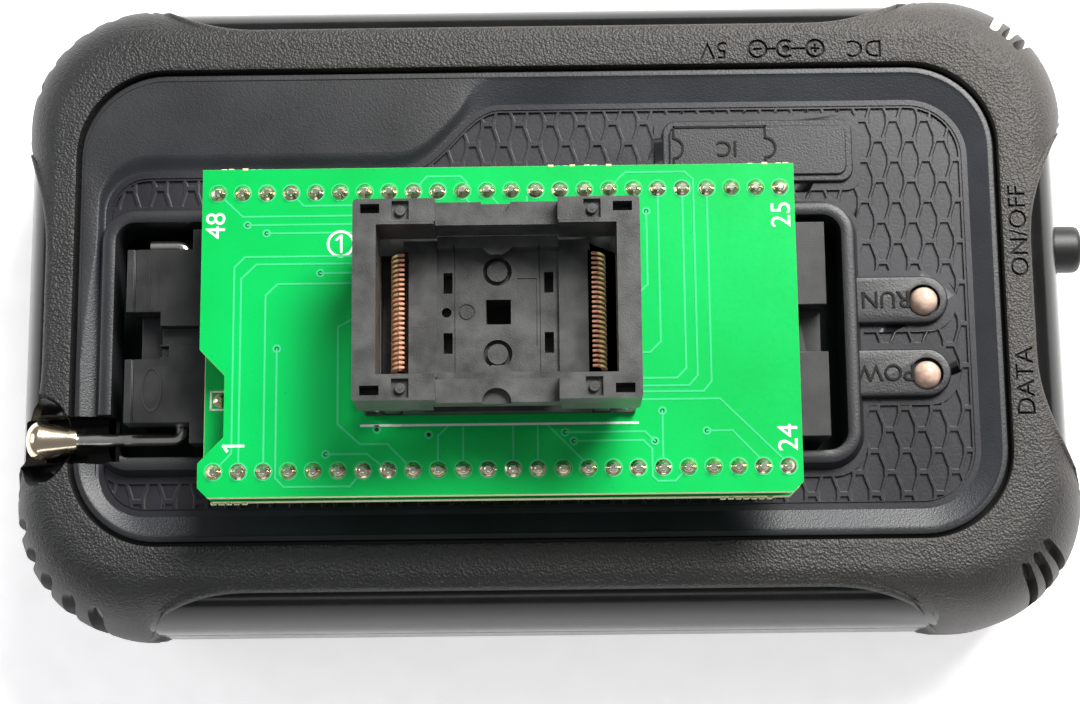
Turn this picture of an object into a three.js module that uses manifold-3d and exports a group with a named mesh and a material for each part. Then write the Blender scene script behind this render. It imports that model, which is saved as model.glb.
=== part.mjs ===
// A USB device programmer: a hard two-part case in a rubber bumper, with a 48-way lever socket in its
// deck and a stacked adapter board plugged into that socket. Millimetres, +Z up. The origin is on the
// desk under the middle of the case. +X points to the end with the USB port, +Y to the side with the
// power inlet.
import * as THREE from "three";
import { mergeVertices } from "three/addons/utils/BufferGeometryUtils.js";
import Module from "manifold-3d";

const wasm = await Module();
wasm.setup();

// ---------- driving dimensions ----------

const PITCH = 2.54; // pin pitch of the socket and of every header
const PINS_PER_ROW = 24;
const PIN_SPAN = PITCH * (PINS_PER_ROW - 1);
const FIT = 0.3; // clearance between pieces that are assembled into each other

const CASE = { halfX: 58, halfY: 35.5, corner: 16, wall: 2, bottom: 2.3, seam: 13.5, top: 24.7 };
const BUMPER = { halfX: 59.5, halfY: 36.3, corner: 13, bottom: 1, top: 26, middle: 12 };
const WINDOW = { halfX: 50.2, halfY: 26.2, corner: 10 }; // opening of the bumper, above and below
const FRAME_EDGE = { halfX: 53.4, halfY: 31 }; // where the bumper stops along the straight sides
const DECK = { top: 25.6, floor: 24.6, halfX: 46.6, halfY: 22.4, corner: 6.5 };
const LOWER_PLATE_Z = 1.4; // underside of the lower shell inside the bumper's lower window

const SOCKET = { x: -3.9, y: -4, rowHalf: 7.62, bottom: 17, baseTop: 25.2, top: 28.3 };
const WELL = { x0: -45.6, x1: 32.7, y0: -16.7, y1: 8.9, corner: 2, rim: 1.5, rimTop: 26.2, skirt: 20.5 };
const LEVER = { x: SOCKET.x - 34.4, y: SOCKET.y - 10.6, z: 24.2, r: 0.75, tip: -55, crank: 3.8 };
const KNOB = { length: 5.7, tipR: 2.25, neckR: 1.4 };
const LEVER_END = { x: SOCKET.x - 33, narrowHalf: 9.2, halfY: 11.6 }; // the end where the lever's arms pass
const SLIDER = { travel: 1, plateTop: 26.8, channelHalf: 2.55, holeHalfY: 0.75 };
const LEVER_SLOT = { y0: -17.2, y1: -12.1, floor: 21.4 };
const DISH = { x: -52.7, r: 4.8 }; // hollow for a fingertip round the knob

const MAIN_BOARD = { halfX: 54, halfY: 32, bottom: 8, top: 9.6 };
const SOCKET_BOARD = { x0: -48, x1: 42.1, y0: -22, y1: 14, bottom: 15.4, top: SOCKET.bottom };
const POST = { x: 50, y: 27, r: 3.4 };
const SPACER = { xs: [-44, 38], ys: [-19, 11], r: 2.4 };
const LINK = { halfX: 15.5, ys: [-17, 9], halfY: 2.4, split: 13.4, pins: 12 };
const FOOT = { x: 40, y: 18, r: 4, seat: 2.1 };

const ADAPTER = { x: SOCKET.x, y: -5.2, halfX: 30.48, halfY: 17.2, board: 1.2, strip: 2.5, rowHalf: 14.605 };
const STACK = { dip: SOCKET.top + 0.1 };
STACK.lower = STACK.dip + ADAPTER.strip;
STACK.spacer = STACK.lower + ADAPTER.board;
STACK.upper = STACK.spacer + ADAPTER.strip;
STACK.chip = STACK.upper + ADAPTER.board;

const CHIP_SOCKET = { x: ADAPTER.x, y: ADAPTER.y + 0.7, halfX: 14.15, halfY: 10.1, z: STACK.chip, height: 11.4 };
const COVER = { wall: 6.1, rail: 2.2, middleX: 6.1, middleDrop: 1.8, notchR: 1.5 };
const SEAT_Z = CHIP_SOCKET.z + 4.2; // where the chip's body lies
const CONTACT = { x: 9.9, halfY: 5.875, pitch: 0.5, gap: 0.25, z: CHIP_SOCKET.z + 1 };
const SPRING = { x: 12.55, y: 8.9, r: 0.85, z0: CHIP_SOCKET.z + 0.8, turns: 3, wire: 0.24 };

const USB = { y: -9.4, z: MAIN_BOARD.top, width: 12, height: 11, depth: 14.5, front: 58.3 };
const JACK = { x: 19, z: MAIN_BOARD.top, width: 9, height: 11, depth: 14, front: 35.7, boreR: 3.2, pinR: 1.05 };
const CAPACITOR = { xs: [-36, -27], y: 25 };
// Flat packages on the main board: name, centre x, centre y, half x, half y, height, material.
const PACKAGES = [
  ["controller_chip", -31, -3, 7, 7, 1.4, "chip"],
  ["logic_chip", -8, -4, 8.5, 8.5, 1.6, "chip"],
  ["regulator_chip", 33, 22, 3.3, 3, 2.3, "chip"],
  ["power_inductor", 4, 24, 3.5, 3.5, 4, "headerPlastic"],
  ["crystal", 9, -3, 5.6, 2.3, 3.5, "steel"],
];
const BUTTON = { y: 7.5, z: 14.6, r: 2.65, tip: 60.9, length: 8.2, travel: 1.5 };
const LEDS = { x: 41.5, ys: [-0.5, -8.6], r: 1.5, top: 26.5 };
const TAB = { halfY: 2.65, top: 25.5 };
const CHIP_SIGN = [14.1, 34.3, 12.8, 19.7]; // raised plate that shows which way round a chip goes

// ---------- materials ----------

function finish(color, roughness, metalness = 0) {
  return new THREE.MeshStandardMaterial({ color, roughness, metalness });
}

const MATERIAL = {
  shell: finish(0x2b2c30, 0.45),
  rubber: finish(0x33322f, 0.8),
  socketPlastic: finish(0x2a2a2b, 0.6),
  chipPlastic: finish(0x3b3a3b, 0.55),
  headerPlastic: finish(0x1a1a1b, 0.5),
  boardGreen: finish(0x06a83e, 0.4),
  boardDark: finish(0x0b5a2c, 0.5),
  steel: finish(0xb9b6ad, 0.25, 1),
  nickel: finish(0xd9c9a6, 0.2, 1),
  copper: finish(0xc98a5a, 0.3, 1),
  blue: finish(0x1c4fb5, 0.5),
  chip: finish(0x1c1c1e, 0.5),
  led: finish(0xe8ddd2, 0.1),
  aluminium: finish(0xc4c6c8, 0.35, 1),
};

// ---------- helpers ----------

// A closed geometry as a manifold-3d solid.
function solid(geometry) {
  const bare = geometry.index ? geometry.toNonIndexed() : geometry.clone();
  for (const name of Object.keys(bare.attributes)) if (name !== "position") bare.deleteAttribute(name);
  const merged = mergeVertices(bare, 1e-4);
  const corners = merged.index.array;
  const kept = [];
  for (let i = 0; i < corners.length; i += 3) {
    const [a, b, c] = [corners[i], corners[i + 1], corners[i + 2]];
    if (a !== b && b !== c && a !== c) kept.push(a, b, c);
  }
  const mesh = new wasm.Mesh({
    numProp: 3,
    vertProperties: new Float32Array(merged.attributes.position.array),
    triVerts: new Uint32Array(kept),
  });
  return new wasm.Manifold(mesh);
}

function node(name, body, material) {
  const made = body.getMesh();
  const stride = made.numProp;
  const position = new Float32Array(made.numVert * 3);
  for (let i = 0; i < made.numVert; i++) {
    position.set(made.vertProperties.subarray(i * stride, i * stride + 3), i * 3);
  }
  const geometry = new THREE.BufferGeometry();
  geometry.setAttribute("position", new THREE.BufferAttribute(position, 3));
  geometry.setIndex(new THREE.BufferAttribute(made.triVerts, 1));
  geometry.computeVertexNormals();
  const mesh = new THREE.Mesh(geometry, material);
  mesh.name = name;
  return mesh;
}

// A box between two opposite corners.
function block(x0, x1, y0, y1, z0, z1) {
  const g = new THREE.BoxGeometry(x1 - x0, y1 - y0, z1 - z0);
  return solid(g.translate((x0 + x1) / 2, (y0 + y1) / 2, (z0 + z1) / 2));
}

// A round bar between two heights, or between two values along another axis.
function bar(axis, radius, from, to, at, sides = 12, endRadius = radius) {
  const g = new THREE.CylinderGeometry(endRadius, radius, to - from, sides);
  if (axis === "x") g.rotateZ(-Math.PI / 2).translate((from + to) / 2, at[0], at[1]);
  else if (axis === "y") g.translate(at[0], (from + to) / 2, at[1]);
  else g.rotateX(Math.PI / 2).translate(at[0], at[1], (from + to) / 2);
  return solid(g);
}

function roundedRect(x0, x1, y0, y1, r) {
  const s = new THREE.Shape();
  s.moveTo(x0 + r, y0);
  s.lineTo(x1 - r, y0);
  s.absarc(x1 - r, y0 + r, r, -Math.PI / 2, 0);
  s.lineTo(x1, y1 - r);
  s.absarc(x1 - r, y1 - r, r, 0, Math.PI / 2);
  s.lineTo(x0 + r, y1);
  s.absarc(x0 + r, y1 - r, r, Math.PI / 2, Math.PI);
  s.lineTo(x0, y0 + r);
  s.absarc(x0 + r, y0 + r, r, Math.PI, Math.PI * 1.5);
  return s;
}

const centred = (halfX, halfY, r) => roundedRect(-halfX, halfX, -halfY, halfY, r);

function plate(shape, z0, z1, curveSegments = 5) {
  const g = new THREE.ExtrudeGeometry(shape, { depth: z1 - z0, bevelEnabled: false, curveSegments });
  return solid(g.translate(0, 0, z0));
}

// A plate whose upper or lower edge is rounded over a height and an inset. up is 1 or -1.
function domed(shape, z0, z1, height, inset, up, curveSegments = 5, bevelSegments = 2) {
  const reach = z1 - z0 + height;
  const g = new THREE.ExtrudeGeometry(shape, {
    depth: reach - height,
    bevelThickness: height,
    bevelSize: inset,
    bevelOffset: -inset,
    bevelSegments,
    curveSegments,
  });
  g.translate(0, 0, up > 0 ? z0 - height : z0 + height);
  return solid(g).intersect(block(-99, 99, -99, 99, z0, z1));
}

const ROWS = [-1, 1]; // the two sides of whatever is built in pairs
const cornersOf = (x, y) => ROWS.flatMap((sx) => ROWS.map((sy) => [sx * x, sy * y]));
const union = (list) => list.reduce((sum, piece) => sum.add(piece));
const pinX = (i, centre) => centre + (i - (PINS_PER_ROW - 1) / 2) * PITCH;

// The same small cut or pin at each place of a pin row.
function pinRow(centre, make) {
  return Array.from({ length: PINS_PER_ROW }, (_, i) => make(pinX(i, centre)));
}

// ---------- the hard case ----------

// Outside of both shells, from the desk side to the deck side.
function upperBody(grow = 0) {
  const shape = centred(CASE.halfX + grow, CASE.halfY + grow, CASE.corner + grow);
  return domed(shape, CASE.seam, CASE.top + grow, 9, 4.7, 1);
}

function lowerBody(grow = 0) {
  const shape = centred(CASE.halfX + grow, CASE.halfY + grow, CASE.corner + grow);
  return domed(shape, CASE.bottom - grow, CASE.seam, 5, 4, -1);
}

// The honeycomb field: a rectangle less the flat name area at its upper left, with a soft slope between.
function fieldShape() {
  const { halfX, halfY, corner: r } = DECK;
  const left = WELL.x0 - WELL.rim;
  const step = 14.9;
  const s = new THREE.Shape();
  s.moveTo(left + 1.5, -halfY);
  s.lineTo(halfX - r, -halfY);
  s.absarc(halfX - r, -halfY + r, r, -Math.PI / 2, 0);
  s.lineTo(halfX, halfY - r);
  s.absarc(halfX - r, halfY - r, r, 0, Math.PI / 2);
  s.lineTo(-3, halfY);
  s.bezierCurveTo(-8, halfY, -10, step, -15.5, step);
  s.lineTo(left + 3.5, step);
  s.absarc(left + 3.5, step - 3.5, 3.5, Math.PI / 2, Math.PI);
  s.lineTo(left, -halfY + 1.5);
  s.absarc(left + 1.5, -halfY + 1.5, 1.5, Math.PI, Math.PI * 1.5);
  return s;
}

function wellShape(grow) {
  return roundedRect(WELL.x0 - grow, WELL.x1 + grow, WELL.y0 - grow, WELL.y1 + grow, WELL.corner + grow);
}

function ledTab(y) {
  const s = new THREE.Shape();
  s.moveTo(WELL.x1 + WELL.rim - 0.5, y - TAB.halfY);
  s.lineTo(LEDS.x, y - TAB.halfY);
  s.absarc(LEDS.x, y, TAB.halfY, -Math.PI / 2, Math.PI / 2);
  s.lineTo(WELL.x1 + WELL.rim - 0.5, y + TAB.halfY);
  return s;
}

const postPlaces = cornersOf(POST.x, POST.y);
const footPlaces = cornersOf(FOOT.x, FOOT.y);
const spacerPlaces = SPACER.xs.flatMap((x) => SPACER.ys.map((y) => [x, y]));

// The way in for the socket's lever, through the end of the case, and the finger dish round its knob.
function leverWay(drop = 0) {
  const slot = block(-70, WELL.x0 + 1, LEVER_SLOT.y0, LEVER_SLOT.y1, LEVER_SLOT.floor - drop, 40);
  const dish = new THREE.SphereGeometry(DISH.r, 12, 8).scale(1, 1, 0.8);
  dish.translate(DISH.x, LEVER.y, BUMPER.top - drop);
  return slot.add(solid(dish));
}

// Holes in the side walls for the USB port, the power inlet and the power button.
function portHoles() {
  const usbHalf = USB.width / 2 + FIT;
  const usb = block(50, 70, USB.y - usbHalf, USB.y + usbHalf, USB.z - FIT, USB.z + USB.height + FIT);
  const jackHalf = JACK.width / 2 + FIT;
  const jack = block(JACK.x - jackHalf, JACK.x + jackHalf, 30, 45, JACK.z - FIT, JACK.z + JACK.height + FIT);
  return union([usb, jack, bar("x", BUTTON.r + FIT, 50, 70, [BUTTON.y, BUTTON.z], 16)]);
}

// Walls of the case's inside, one wall thickness in from the outside.
function cavityShape() {
  return centred(CASE.halfX - CASE.wall, CASE.halfY - CASE.wall, CASE.corner - CASE.wall);
}

// A plate that fills the bumper's window.
function windowPlate(z0, z1) {
  return plate(centred(WINDOW.halfX - FIT, WINDOW.halfY - FIT, WINDOW.corner), z0, z1);
}

function slotHousing() {
  const { y0, y1, floor } = LEVER_SLOT;
  return block(-57, WELL.x0 - 0.5, y0 - 1.5, y1 + 1.5, floor - 1.5, CASE.top).intersect(upperBody());
}

function makeUpperShell() {
  const cavity = domed(cavityShape(), CASE.seam - 0.01, CASE.top - CASE.wall, 8, 4.7, 1, 3, 2);
  const bosses = postPlaces.map((at) => bar("z", POST.r, CASE.seam, CASE.top - 1, at, 12).intersect(upperBody()));
  let shell = upperBody().subtract(cavity).add(windowPlate(CASE.top - 0.5, DECK.top));
  shell = shell.subtract(plate(fieldShape(), DECK.floor, DECK.top + 1));
  shell = union([shell, slotHousing(), ...bosses]);
  shell = shell.add(plate(wellShape(WELL.rim), WELL.skirt, WELL.rimTop, 3));
  shell = shell.add(plate(roundedRect(...CHIP_SIGN, 1.5), DECK.floor - 0.5, TAB.top - 0.2, 2));
  for (const y of LEDS.ys) shell = shell.add(plate(ledTab(y), CASE.top - 1.5, TAB.top, 4));
  shell = shell.subtract(plate(wellShape(0), 10, 40, 3));
  for (const y of LEDS.ys) shell = shell.subtract(bar("z", LEDS.r + FIT, 10, 40, [LEDS.x, y], 16));
  for (const at of postPlaces) shell = shell.subtract(bar("z", 1.5, CASE.seam - 1, CASE.seam + 7, at, 8));
  return shell.subtract(leverWay()).subtract(portHoles());
}

function makeLowerShell() {
  const cavity = domed(cavityShape(), CASE.bottom + CASE.wall, CASE.seam + 0.01, 4, 3.5, -1, 3, 1);
  let shell = lowerBody().add(windowPlate(LOWER_PLATE_Z, CASE.bottom + 0.5)).subtract(cavity);
  const post = (at) => bar("z", POST.r, CASE.bottom + 0.6, CASE.seam, at, 12).intersect(lowerBody());
  const posts = postPlaces.map(post);
  const pegs = spacerPlaces.map((at) => bar("z", 2.6, CASE.bottom + 1, MAIN_BOARD.bottom, at, 8));
  shell = union([shell, ...posts, ...pegs]);
  for (const at of postPlaces) {
    shell = shell.subtract(bar("z", 1.7, 0, 20, at, 10)).subtract(bar("z", 3, 0, CASE.bottom + 2.4, at, 12));
  }
  for (const at of footPlaces) shell = shell.subtract(bar("z", FOOT.r + 0.1, 0, FOOT.seat, at, 16));
  return shell.subtract(portHoles());
}

// ---------- the rubber bumper ----------

// Plan of the region outside a straight side, where the bumper is scooped away down to the hard wall.
// The side runs along u at distance v from the middle.
function scoopShape(edge, straight, tip, outer) {
  const s = new THREE.Shape();
  s.moveTo(-straight, edge);
  s.lineTo(straight, edge);
  s.bezierCurveTo(straight + 5, edge, tip - 3, outer - 1.4, tip, outer + 0.4);
  s.lineTo(tip, outer + 9);
  s.lineTo(-tip, outer + 9);
  s.lineTo(-tip, outer + 0.4);
  s.bezierCurveTo(-tip + 3, outer - 1.4, -straight - 5, edge, -straight, edge);
  return s;
}

function sideScoops() {
  const along = plate(scoopShape(FRAME_EDGE.halfY, 35, 45.5, BUMPER.halfY), -5, 40, 4);
  const across = plate(scoopShape(FRAME_EDGE.halfX, 8.5, 22.8, BUMPER.halfX), -5, 40, 4);
  return union([along, along.rotate([0, 0, 180]), across.rotate([0, 0, 90]), across.rotate([0, 0, -90])]);
}

// Grip cuts in the outside of a corner, square to it. Angles are from +X, in degrees.
function gripCuts(sx, sy, angles, width, depth) {
  const centre = [sx * (BUMPER.halfX - BUMPER.corner), sy * (BUMPER.halfY - BUMPER.corner)];
  return angles.map((angle) => {
    const g = new THREE.BoxGeometry(2 * depth, width, 30);
    g.translate(BUMPER.corner + 0.3, 0, BUMPER.middle).rotateZ(THREE.MathUtils.degToRad(angle));
    return solid(g.translate(centre[0], centre[1], 0));
  });
}

function makeBumper() {
  const shape = centred(BUMPER.halfX, BUMPER.halfY, BUMPER.corner);
  const outside = domed(shape, BUMPER.middle, BUMPER.top, 10, 6, 1).add(
    domed(shape, BUMPER.bottom, BUMPER.middle, 6, 4, -1),
  );
  const windows = plate(centred(WINDOW.halfX, WINDOW.halfY, WINDOW.corner), -5, 40);
  const cuts = [
    ...gripCuts(-1, 1, [99, 113, 127, 141, 155], 1.5, 1.2),
    ...gripCuts(-1, -1, [205, 219, 233, 247, 261], 1.5, 1.2),
    ...gripCuts(1, 1, [36, 45, 54], 0.8, 1.7),
    ...gripCuts(1, -1, [-36, -45, -54], 0.8, 1.7),
  ];
  const hollow = upperBody(FIT).add(lowerBody(FIT));
  return outside.subtract(union([hollow, windows, sideScoops(), ...cuts, leverWay(0.6)]));
}

// ---------- feet and case screws ----------

function makeFoot([x, y]) {
  const profile = [[0, 0], [3.4, 0], [FOOT.r, 0.6], [FOOT.r, FOOT.seat], [0, FOOT.seat]];
  const g = new THREE.LatheGeometry(profile.map(([r, z]) => new THREE.Vector2(r, z)), 16);
  return solid(g.rotateX(Math.PI / 2)).translate([x, y, 0]);
}

function makeCaseScrew([x, y]) {
  const headTop = CASE.bottom + 2.4;
  const cross = block(x - 1.1, x + 1.1, y - 0.2, y + 0.2, 0, headTop - 0.9)
    .add(block(x - 0.2, x + 0.2, y - 1.1, y + 1.1, 0, headTop - 0.9));
  return bar("z", 2.6, headTop - 1.9, headTop, [x, y], 12)
    .add(bar("z", 1.2, headTop - 0.5, CASE.seam + 6, [x, y], 8))
    .subtract(cross);
}

// ---------- inside the case ----------

function makeMainBoard() {
  const { halfX, halfY, bottom, top } = MAIN_BOARD;
  const along = block(-halfX, halfX, -halfY + 9.5, halfY - 9.5, bottom, top);
  return along.add(block(-halfX + 8.5, halfX - 8.5, -halfY, halfY, bottom, top));
}

function makeSocketBoard() {
  const { x0, x1, y0, y1, bottom, top } = SOCKET_BOARD;
  return plate(roundedRect(x0, x1, y0, y1, 1.5), bottom, top, 2);
}

function makeBoardSpacer([x, y]) {
  return bar("z", SPACER.r, MAIN_BOARD.top, SOCKET_BOARD.bottom, [x, y], 6);
}

function makeLinkSocket(y) {
  const { halfX, halfY, split } = LINK;
  const body = block(-halfX, halfX, y - halfY, y + halfY, MAIN_BOARD.top, split);
  return body.subtract(block(-halfX + 0.8, halfX - 0.8, y - 0.8, y + 0.8, MAIN_BOARD.top + 0.8, split + 1));
}

function makeLinkHeader(y) {
  const { halfX, halfY, split, pins: count } = LINK;
  const strip = block(-halfX, halfX, y - halfY, y + halfY, split, SOCKET_BOARD.bottom);
  const pins = Array.from({ length: count }, (_, i) => {
    const x = (i - (count - 1) / 2) * PITCH;
    return block(x - 0.3, x + 0.3, y - 0.3, y + 0.3, MAIN_BOARD.top + 1.2, split + 0.2);
  });
  return union([strip, ...pins]);
}

function makeUsbShell() {
  const { y, z, width, height, depth, front } = USB;
  const outer = block(front - depth, front, y - width / 2, y + width / 2, z, z + height);
  const mouth = block(front - depth + 2, front + 1, y - 4.3, y + 4.3, z + 1, z + 7.2);
  const superSpeed = block(front - depth + 2, front + 1, y - 3.2, y + 3.2, z + 7, z + 9.9);
  return outer.subtract(mouth.add(superSpeed));
}

function makeUsbInsert() {
  const { y, z, depth, front } = USB;
  const back = front - depth + 2 + 0.1;
  const pieces = [
    block(back, back + 3, y - 4, y + 4, z + 1.1, z + 7),
    block(back, back + 3, y - 3, y + 3, z + 6.9, z + 9.7),
    block(back, front - 2.2, y - 2.8, y + 2.8, z + 2.5, z + 5.7),
    block(back, front - 3.2, y - 2.2, y + 2.2, z + 8.2, z + 9.3),
  ];
  return union(pieces);
}

function makePowerInlet() {
  const { x, z, width, height, depth, front, boreR } = JACK;
  const body = block(x - width / 2, x + width / 2, front - depth, front, z, z + height);
  return body.subtract(bar("y", boreR, front - 9.5, front + 1, [x, z + 6.5], 16));
}

function makePowerInletPin() {
  const { x, z, front, pinR } = JACK;
  return bar("y", pinR, front - 9.4, front - 0.8, [x, z + 6.5], 10);
}

function makeSwitchBody() {
  const back = BUTTON.tip - BUTTON.length - BUTTON.travel;
  const body = block(back - 8.5, back - 0.6, BUTTON.y - 4, BUTTON.y + 4, MAIN_BOARD.top, MAIN_BOARD.top + 8);
  return body.add(block(back - 0.7, back - 0.2, BUTTON.y - 1.2, BUTTON.y + 1.2, BUTTON.z - 1.2, BUTTON.z + 1.2));
}

function makePowerButton() {
  const length = BUTTON.length - 0.2;
  const profile = [[0, 0], [BUTTON.r - 0.7, 0], [BUTTON.r, 0.5], [BUTTON.r, length], [0, length]];
  const g = new THREE.LatheGeometry(profile.map(([r, h]) => new THREE.Vector2(r, h)), 20);
  return solid(g.rotateZ(Math.PI / 2)).translate([BUTTON.tip, BUTTON.y, BUTTON.z]);
}

function makeLed(y) {
  const { x, r, top } = LEDS;
  const bulbFoot = 21;
  const bulb = [[0, bulbFoot], [r + 0.4, bulbFoot], [r + 0.4, bulbFoot + 0.9], [r, bulbFoot + 0.9], [r, top - r]];
  const cap = [Math.PI / 3, Math.PI / 6].map((a) => [r * Math.sin(a), top - r + r * Math.cos(a)]);
  const profile = [...bulb, ...cap, [0, top]];
  const g = new THREE.LatheGeometry(profile.map(([px, pz]) => new THREE.Vector2(px, pz)), 12);
  const leg = (ly) => block(x - 0.25, x + 0.25, ly - 0.25, ly + 0.25, SOCKET_BOARD.top, bulbFoot + 0.2);
  const legs = [leg(y - 0.8), leg(y + 0.8)];
  return union([solid(g.rotateX(Math.PI / 2)).translate([x, y, 0]), ...legs]);
}

function makeCapacitor(x) {
  const { y } = CAPACITOR;
  const foot = block(x - 3.3, x + 3.3, y - 3.3, y + 3.3, MAIN_BOARD.top, MAIN_BOARD.top + 1.2);
  return foot.add(bar("z", 3.1, MAIN_BOARD.top + 1, MAIN_BOARD.top + 7.7, [x, y], 16));
}

function makePackage([, x, y, halfX, halfY, height]) {
  const outline = roundedRect(x - halfX, x + halfX, y - halfY, y + halfY, 0.8);
  return plate(outline, MAIN_BOARD.top, MAIN_BOARD.top + height, 2);
}

// ---------- the lever socket ----------


function makeSocketBase() {
  const { x, y, bottom, baseTop, rowHalf } = SOCKET;
  let base = block(LEVER_END.x, x + 34.2, y - LEVER_END.halfY, y + LEVER_END.halfY, bottom, baseTop)
    .add(block(x - 38.8, LEVER_END.x + 1, y - LEVER_END.narrowHalf, y + LEVER_END.narrowHalf, bottom, baseTop));
  for (const side of ROWS) {
    const middle = y + side * rowHalf;
    base = base.subtract(block(x - 31, x + 31, middle - 1.3, middle + 1.3, bottom + 0.8, baseTop + 1));
  }
  const axleWay = bar("y", LEVER.r + 0.3, y - 20, y + 20, [LEVER.x, LEVER.z], 10);
  const camRoom = block(LEVER.x - 1.2, LEVER.x + 1.2, y - 20, y + 20, LEVER.z, baseTop + 1);
  return base.subtract(axleWay.add(camRoom));
}

// One row of 24 contacts on the strip they are stamped from.
function makeSocketContacts(side) {
  const middle = SOCKET.y + side * SOCKET.rowHalf;
  const z = SOCKET.bottom + 0.9;
  const strip = block(SOCKET.x - 30.5, SOCKET.x + 30.5, middle - 0.9, middle + 0.9, z, z + 0.6);
  const bladeY = middle + side * 0.65;
  const blade = (px) => block(px - 0.5, px + 0.5, bladeY - 0.15, bladeY + 0.15, z + 0.5, SOCKET.baseTop - 0.1);
  const blades = pinRow(SOCKET.x, blade);
  return union([strip, ...blades]);
}

function makeSocketSlider() {
  const { x, y, baseTop, top, rowHalf } = SOCKET;
  const z0 = baseTop + 0.1;
  let slider = block(LEVER_END.x, x + 34.6, y - LEVER_END.halfY, y + LEVER_END.halfY, z0, top)
    .add(block(x - 40, LEVER_END.x + 1, y - LEVER_END.narrowHalf - 0.2, y + LEVER_END.narrowHalf + 0.2, z0, top));
  slider = slider.subtract(block(x - 36.3, x + 40, y - 1, y + 1, SLIDER.plateTop, top + 1));
  const { travel, channelHalf, holeHalfY } = SLIDER;
  slider = slider.subtract(block(x - 45, x - 36.3, y - channelHalf, y + channelHalf, z0 - 1, top + 1));
  slider = slider.subtract(block(x + 31.5, x + 40, y - channelHalf, y + channelHalf, z0 - 1, top + 1));
  for (const side of ROWS) {
    const middle = y + side * rowHalf;
    const [y0, y1] = [middle - holeHalfY, middle + holeHalfY];
    const hole = (px) => block(px - 0.35 - travel, px + 0.45, y0, y1, z0 - 1, top + 1);
    slider = slider.subtract(union(pinRow(x, hole)));
  }
  return slider;
}

// The bent wire: handle arm, axle across the socket, and the short crank at its far end.
function makeLeverWire() {
  const { x, y, z, r, tip, crank } = LEVER;
  const farY = SOCKET.y + 10.6;
  const elbow = (ey) => solid(new THREE.SphereGeometry(r, 10, 6).translate(x, ey, z));
  return union([
    bar("x", r, tip + KNOB.length - 0.1, x, [y, z], 10),
    bar("y", r, y, farY, [x, z], 10),
    bar("x", r, x - crank, x, [farY, z], 10),
    elbow(y),
    elbow(farY),
  ]);
}

function makeLeverKnob() {
  const { length, tipR, neckR } = KNOB;
  const dome = [75, 45, 20].map(THREE.MathUtils.degToRad).map((a) => [tipR * Math.cos(a), 1 - Math.sin(a)]);
  const profile = [[0, 0], ...dome, [tipR, 1], [neckR, length - 0.2], [0, length - 0.2]];
  const g = new THREE.LatheGeometry(profile.map(([px, h]) => new THREE.Vector2(px, h)), 20);
  return solid(g.rotateZ(-Math.PI / 2)).translate([LEVER.tip, LEVER.y, LEVER.z]);
}

// ---------- the plug-in adapter ----------

// The boards' outline, with the bay that lets the socket's lever stand up, and clipped corners.
function boardShape() {
  const { x, y, halfX, halfY } = ADAPTER;
  const bay = { depth: 2.6, y0: y - 13.7, y1: y - 1.9, slope: 2.7 };
  const clip = 1;
  const s = new THREE.Shape();
  s.moveTo(x - halfX + clip, y - halfY);
  s.lineTo(x + halfX - clip, y - halfY);
  s.lineTo(x + halfX, y - halfY + clip);
  s.lineTo(x + halfX, y + halfY);
  s.lineTo(x - halfX, y + halfY);
  s.lineTo(x - halfX, bay.y1);
  s.lineTo(x - halfX + bay.depth, bay.y1 - bay.slope);
  s.lineTo(x - halfX + bay.depth, bay.y0 + bay.slope);
  s.lineTo(x - halfX, bay.y0);
  s.lineTo(x - halfX, y - halfY + clip);
  return s;
}

function outerPinHoles(z0, z1) {
  const hole = (px, py) => block(px - 0.5, px + 0.5, py - 0.5, py + 0.5, z0, z1);
  return union(ROWS.flatMap((side) => pinRow(ADAPTER.x, (px) => hole(px, ADAPTER.y + side * ADAPTER.rowHalf))));
}

function makeAdapterBoard(z) {
  return plate(boardShape(), z, z + ADAPTER.board).subtract(outerPinHoles(z - 1, z + ADAPTER.board + 1));
}

// A plastic strip with 24 square pins through it.
function makePinStrip(centreY, z, below, above, pinHalf) {
  const ends = PIN_SPAN / 2 + PITCH / 2;
  const strip = block(ADAPTER.x - ends, ADAPTER.x + ends, centreY - 1.2, centreY + 1.2, z, z + ADAPTER.strip);
  const top = z + (above > 0 ? ADAPTER.strip + above : 0.5);
  const y0 = centreY - pinHalf;
  const pin = (px) => block(px - pinHalf, px + pinHalf, y0, y0 + 2 * pinHalf, z - below, top);
  return union([strip, ...pinRow(ADAPTER.x, pin)]);
}

// ---------- the chip socket on the adapter ----------

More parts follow.
